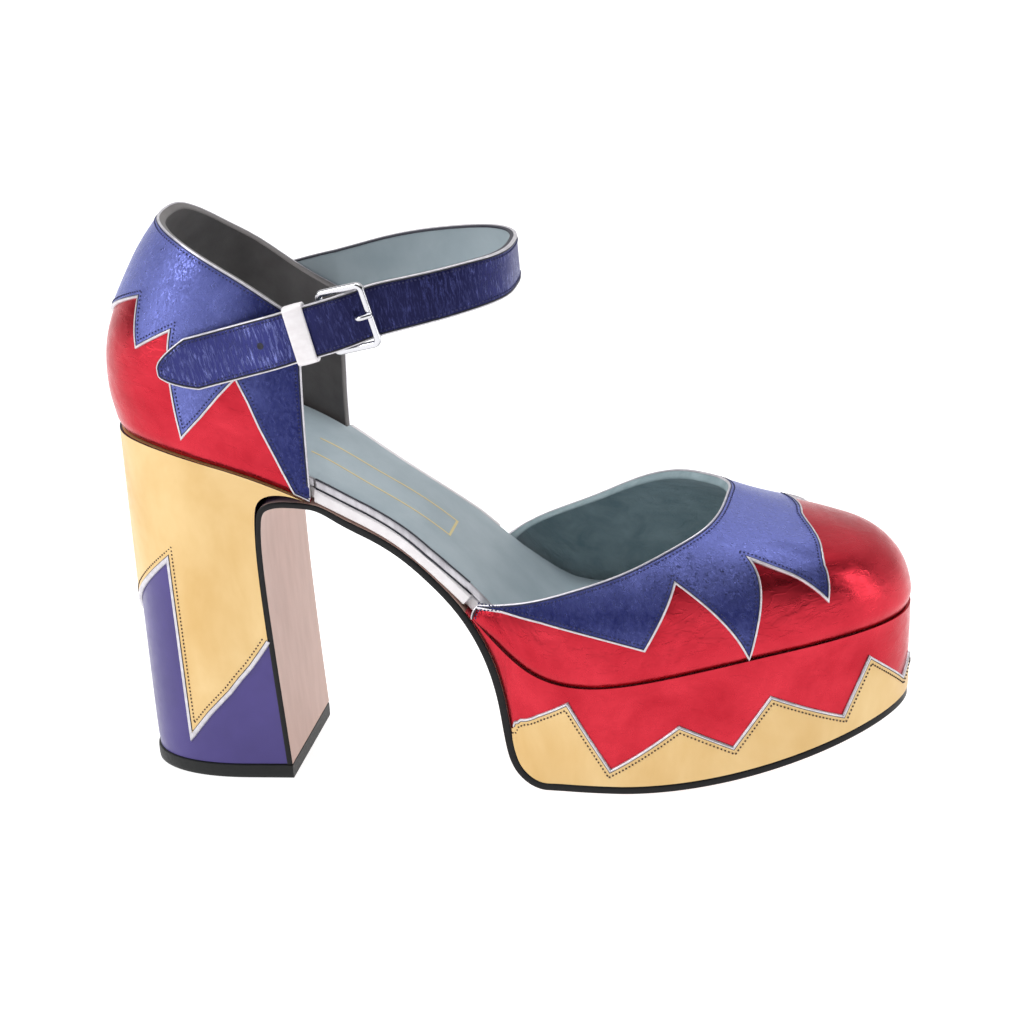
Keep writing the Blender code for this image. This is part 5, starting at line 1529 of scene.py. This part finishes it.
def buildStrap():
    shares = np.array([-1, -0.985, -0.93, -0.8, -0.6, -0.4, -0.2, 0, 0.2, 0.4, 0.6, 0.8, 0.93, 0.985, 1])
    grid = strapGrid(shares)
    along = unit(np.gradient(grid, axis=0))
    up = unit(np.gradient(grid, axis=1))
    out = unit(np.cross(along, up))
    middle = grid[:, len(shares) // 2]
    wrong = out[:, :, 1] * np.sign(middle[:, None, 1]) < -0.2
    out[wrong] *= -1
    if out[0, 7, 1] > 0:
        out = -out
    for i in range(1, len(out)):
        if np.sum(out[i, 7] * out[i - 1, 7]) < 0:
            out[i] = -out[i]
    round_ = np.sqrt(np.clip(1 - np.abs(shares) ** 14, 0, 1))[None, :, None]
    half = strap["thick"] / 2
    flat = np.stack(np.broadcast_arrays(lengths(middle)[:, None], shares[None] * strap["width"] / 2), axis=-1)
    core = grid + out * 0.05
    face = grid + out * (half * (0.55 + 0.45 * round_))
    back = grid - out * (half * (0.75 + 0.25 * round_))
    outer = slab("strapLeather", face, core, ["navyFoil", "navyFoil", "edgeDye"], flat)
    place(outer, "blue_leather", "ankle_strap")
    inner = slab("strapLining", core - out * 0.03, back, ["insoleLeather", "insoleLeather", "edgeDye"], flat)
    place(inner, "insole_leather", "ankle_strap")
    # silver edge all round the outside, from one end of the strap to the other
    low, high = grid[:, 0], grid[:, -1]
    line = np.concatenate([high[::-1], low])
    ways = np.concatenate([out[::-1, -1], out[:, 0]])
    keep = np.concatenate([[True], np.linalg.norm(np.diff(line, axis=0), axis=1) > 0.05])
    line, ways = line[keep], ways[keep]
    profile = [(-0.22, 0.9), (-0.15, 1.04), (0.08, 1.05), (0.22, 0.92), (0.27, 0.5), (0.27, 0.1), (0.1, 0.05)]
    lower = [(0.02, 0.1), (0.22, 0.1), (0.24, -0.75), (0.12, -1.02), (-0.1, -1.05), (-0.2, -0.9)]
    test = lineFrames(line, ways)[1]
    centre = np.concatenate([middle[::-1], middle])[keep]
    way = 1 if np.sum((line - centre) * test) > 0 else -1
    place(ribbon("strapEdge", line, ways, profile, "silverLeather", way), "silver_leather")
    place(ribbon("strapSide", line, ways, lower, "edgeDye", way), "blue_leather")
    near, nearWays = beside(line, ways, -0.45 * way)
    dark = flatRibbon("strapEdgeLine", near + nearWays * half * 0.97, nearWays, 0.2, -0.2, 0.1, "edgeDye")
    place(dark, "blue_leather")
    addSeam("strap", line, ways, -1.3 * way, lift=half - 0.02)


def buckleFrameAxes():
    slope = strapSlope(buckle["place"])
    z = strapHeight(buckle["place"])
    base = wallHalf(upper["wingFront"], z, -1) + strapBase - strap["thick"] / 2 + tab["thick"] / 2 + 0.3
    reach = 2 * buckleReach
    along = unit([reach * math.cos(slope), -buckle["tilt"], reach * math.sin(slope)])
    up = np.array([-math.sin(slope), 0, math.cos(slope)])
    out = unit(np.cross(along, up))
    out *= -1 if out[1] > 0 else 1
    middle = np.array([buckle["place"], -base - buckle["tilt"] / 2, z])
    return middle - along * buckleReach, along, up, out


def roundedLoop(halfLong, halfWide, corner, steps):
    made = []
    for quarter, (a, b) in enumerate(((1, 1), (-1, 1), (-1, -1), (1, -1))):
        for i in range(steps):
            turn = math.pi / 2 * (quarter + i / (steps - 1))
            way = (math.cos(turn), math.sin(turn))
            spot = (a * (halfLong - corner) + corner * way[0], b * (halfWide - corner) + corner * way[1])
            made.append((spot, way))
    return made


def barSection(radius, count, square=3.2):
    made = []
    for i in range(count):
        c, s = fullRound(2 * math.pi * i / count, square)
        made.append((radius * c, radius * s))
    return made


def buildBuckle():
    start, along, up, away = buckleFrameAxes()
    centre = start + along * buckleReach
    radius = buckle["bar"] / 2
    wide = (buckle["wide"] - buckle["bar"]) / 2
    rings = []
    for (p, q), way in roundedLoop(buckleReach, wide, buckle["corner"] - radius, 10):
        spot = centre + along * p + up * q
        side = along * way[0] + up * way[1]
        rings.append([spot + a * side + b * away for a, b in barSection(radius * 0.96, 20)])
    place(loft("buckleFrame", rings, "polishedSteel", closed=True, sharp=60), "steel", "buckle_frame")
    ring = buckle["bar"] / 2 + 0.2 + buckle["prong"] / 2
    turns = [math.radians(d) for d in range(60, 271, 15)]
    rough = [(ring * math.cos(t), ring * math.sin(t)) for t in turns] + list(prongRows)
    rough = np.array([start + along * p + away * n for p, n in rough])
    at = lengths(rough)
    curves = [spline(list(zip(at, rough[:, k]))) for k in range(3)]
    ends = np.linspace(0, at[-1], 90)
    line = np.stack([curve(ends) for curve in curves], axis=1)
    steps = unit(np.gradient(line, axis=0))
    rings = []
    for spot, step, place_ in zip(line, steps, ends / at[-1]):
        face = unit(np.cross(step, up))
        past = max(abs(place_ - 0.5) * 2 - 0.94, 0)  # the last stretch at each end, which is rounded
        size = buckle["prong"] / 2 * math.sqrt(max(1 - past**2 / 0.0037, 0.05))
        rings.append([spot + a * face + b * up for a, b in barSection(size, 14, 2.4)])
    place(loft("bucklePin", rings, "polishedSteel", sharp=60), "steel", "buckle_prong")


def buildTab():
    start, along, up, away = buckleFrameAxes()
    bend = buckle["bar"] / 2 + 0.2 + tab["thick"] / 2
    line = [(-tab["long"] + 3.4 * k, 0.0) for k in range(4)] + [(-3.7, -0.2), (-2.6, -0.8), (-1.6, -1.35)]
    line += [(bend * math.cos(t), bend * math.sin(t)) for t in (math.radians(d) for d in range(-96, 97, 12))]
    line += [(-1.6, 1.85), (-3.0, 1.75)]
    path = []
    for p, n in line:
        spot = start + along * p + away * n
        if p < -4:
            flat = -(wallHalf(min(spot[0], upper["wingFront"]), spot[2], -1) + strapBase - strap["thick"] / 2)
            spot[1] = flat - tab["thick"] / 2 - 0.3
        path.append(spot)
    path = np.array(path)
    steps = unit(np.gradient(path, axis=0))
    face = unit(np.cross(steps, up))
    for side in (-1, 1):
        rings = []
        for centre, out in zip(path, face):
            middle = centre + up * side * (tab["slot"] / 2 + (tab["wide"] - tab["slot"]) / 4)
            half = (tab["wide"] - tab["slot"]) / 4
            rings.append([middle + a * out * tab["thick"] / 2 + b * up * half
                          for a, b in barSection(1.0, 16, 6)])
        piece = loft("buckleTab%s" % ("Low" if side < 0 else "High"), rings, "blueFoil", sharp=60)
        place(piece, "blue_leather", "buckle_tab")


def buildKeeper():
    spot, along, up, out = strapSpot(keeper["place"])
    spot = spot - out * strap["thick"] / 2
    rings = []
    inner = (strap["thick"] / 2 + last["gap"], strap["width"] / 2 + last["gap"])
    for (p, q), way in roundedLoop(*inner, 0.5, 8):
        point = spot + out * p + up * q
        thick = (out * way[0] + up * way[1]) * keeper["thick"]
        half = along * keeper["wide"] / 2
        section = [(-1, 0.1), (-0.94, 0.0), (0.94, 0.0), (1, 0.1), (1, 0.75), (0.96, 0.95), (0.85, 1.0),
                   (0.4, 1.06), (0.0, 1.08), (-0.4, 1.06), (-0.85, 1.0), (-0.96, 0.95), (-1, 0.75)]
        rings.append([point + half * a + thick * b for a, b in section])
    place(loft("strapLoop", rings, "paleLeather", closed=True, sharp=60), "silver_leather", "strap_keeper")


buildStrap()
buildHoles()
buildBuckle()
buildTab()
buildKeeper()

print("floor and light")
studio = {
    "floor": (0.50, 0.50, 0.50),
    "glow": 0.85,
    "front": ((0.0, 0.5), (0.50, 0.40), (0.56, 0.02), (0.84, 0.02), (0.92, 0.9), (1.0, 1.2)),
    "back": 0.75,
    "turn": ((0.50, 0.0), (0.72, 1.0)),
    "world": 1.0,
}


def addFloor():
    bpy.ops.mesh.primitive_plane_add(size=40, location=(0, 0, -0.0002))
    floor = bpy.context.object
    floor.name = "floor"
    paper = bpy.data.materials.new("paper")
    paper.use_nodes = True
    shader = paper.node_tree.nodes["Principled BSDF"]
    shader.inputs["Base Color"].default_value = (*studio["floor"], 1)
    shader.inputs["Roughness"].default_value = 0.9
    shader.inputs["Emission Color"].default_value = (1, 1, 1, 1)
    shader.inputs["Emission Strength"].default_value = studio["glow"]
    shader.inputs["Specular IOR Level"].default_value = 0.1
    floor.data.materials.append(paper)


def addLight(name, spot, target, size, power):
    data = bpy.data.lights.new(name, "AREA")
    data.shape = "RECTANGLE"
    data.size, data.size_y = size
    data.energy = power
    lamp = bpy.data.objects.new(name, data)
    ahead = unit(np.subtract(target, spot))
    side = unit(np.cross(ahead, [0, 0, 1.0001]))
    stand(lamp, spot, side, np.cross(side, ahead), ahead)


def addStudio():
    world = bpy.data.worlds.new("studio")
    world.use_nodes = True
    tree = world.node_tree
    back = tree.nodes["Background"]
    back.inputs["Strength"].default_value = studio["world"]
    # in front a white ceiling over a dim room, by height, and behind a white wall
    split = tree.nodes.new("ShaderNodeSeparateXYZ")
    tree.links.new(tree.nodes.new("ShaderNodeTexCoord").outputs["Generated"], split.inputs[0])
    mix = tree.nodes.new("ShaderNodeMix")
    mix.data_type = "RGBA"
    mix.inputs[7].default_value = (studio["back"],) * 3 + (1,)
    for axis, stops, socket in (("Y", studio["turn"], 0), ("Z", studio["front"], 6)):
        half = tree.nodes.new("ShaderNodeMath")
        half.operation = "MULTIPLY_ADD"
        half.inputs[1].default_value = half.inputs[2].default_value = 0.5
        node = tree.nodes.new("ShaderNodeValToRGB")
        setStops(node.color_ramp, stops)
        tree.links.new(split.outputs[axis], half.inputs[0])
        tree.links.new(half.outputs[0], node.inputs["Fac"])
        tree.links.new(node.outputs["Color"], mix.inputs[socket])
    tree.links.new(mix.outputs[2], back.inputs["Color"])
    bpy.context.scene.world = world
    addLight("key", (-0.9, -0.8, 0.7), (0.08, 0, 0.06), (0.7, 0.9), 10)
    addLight("fill", (1.2, -0.1, 0.30), (0.08, 0, 0.06), (0.3, 0.6), 2)
    addLight("top", (0.1, 0.1, 1.2), (0.08, 0, 0.05), (0.9, 0.6), 6)
    bpy.context.scene.view_settings.view_transform = "Standard"


addFloor()
addStudio()
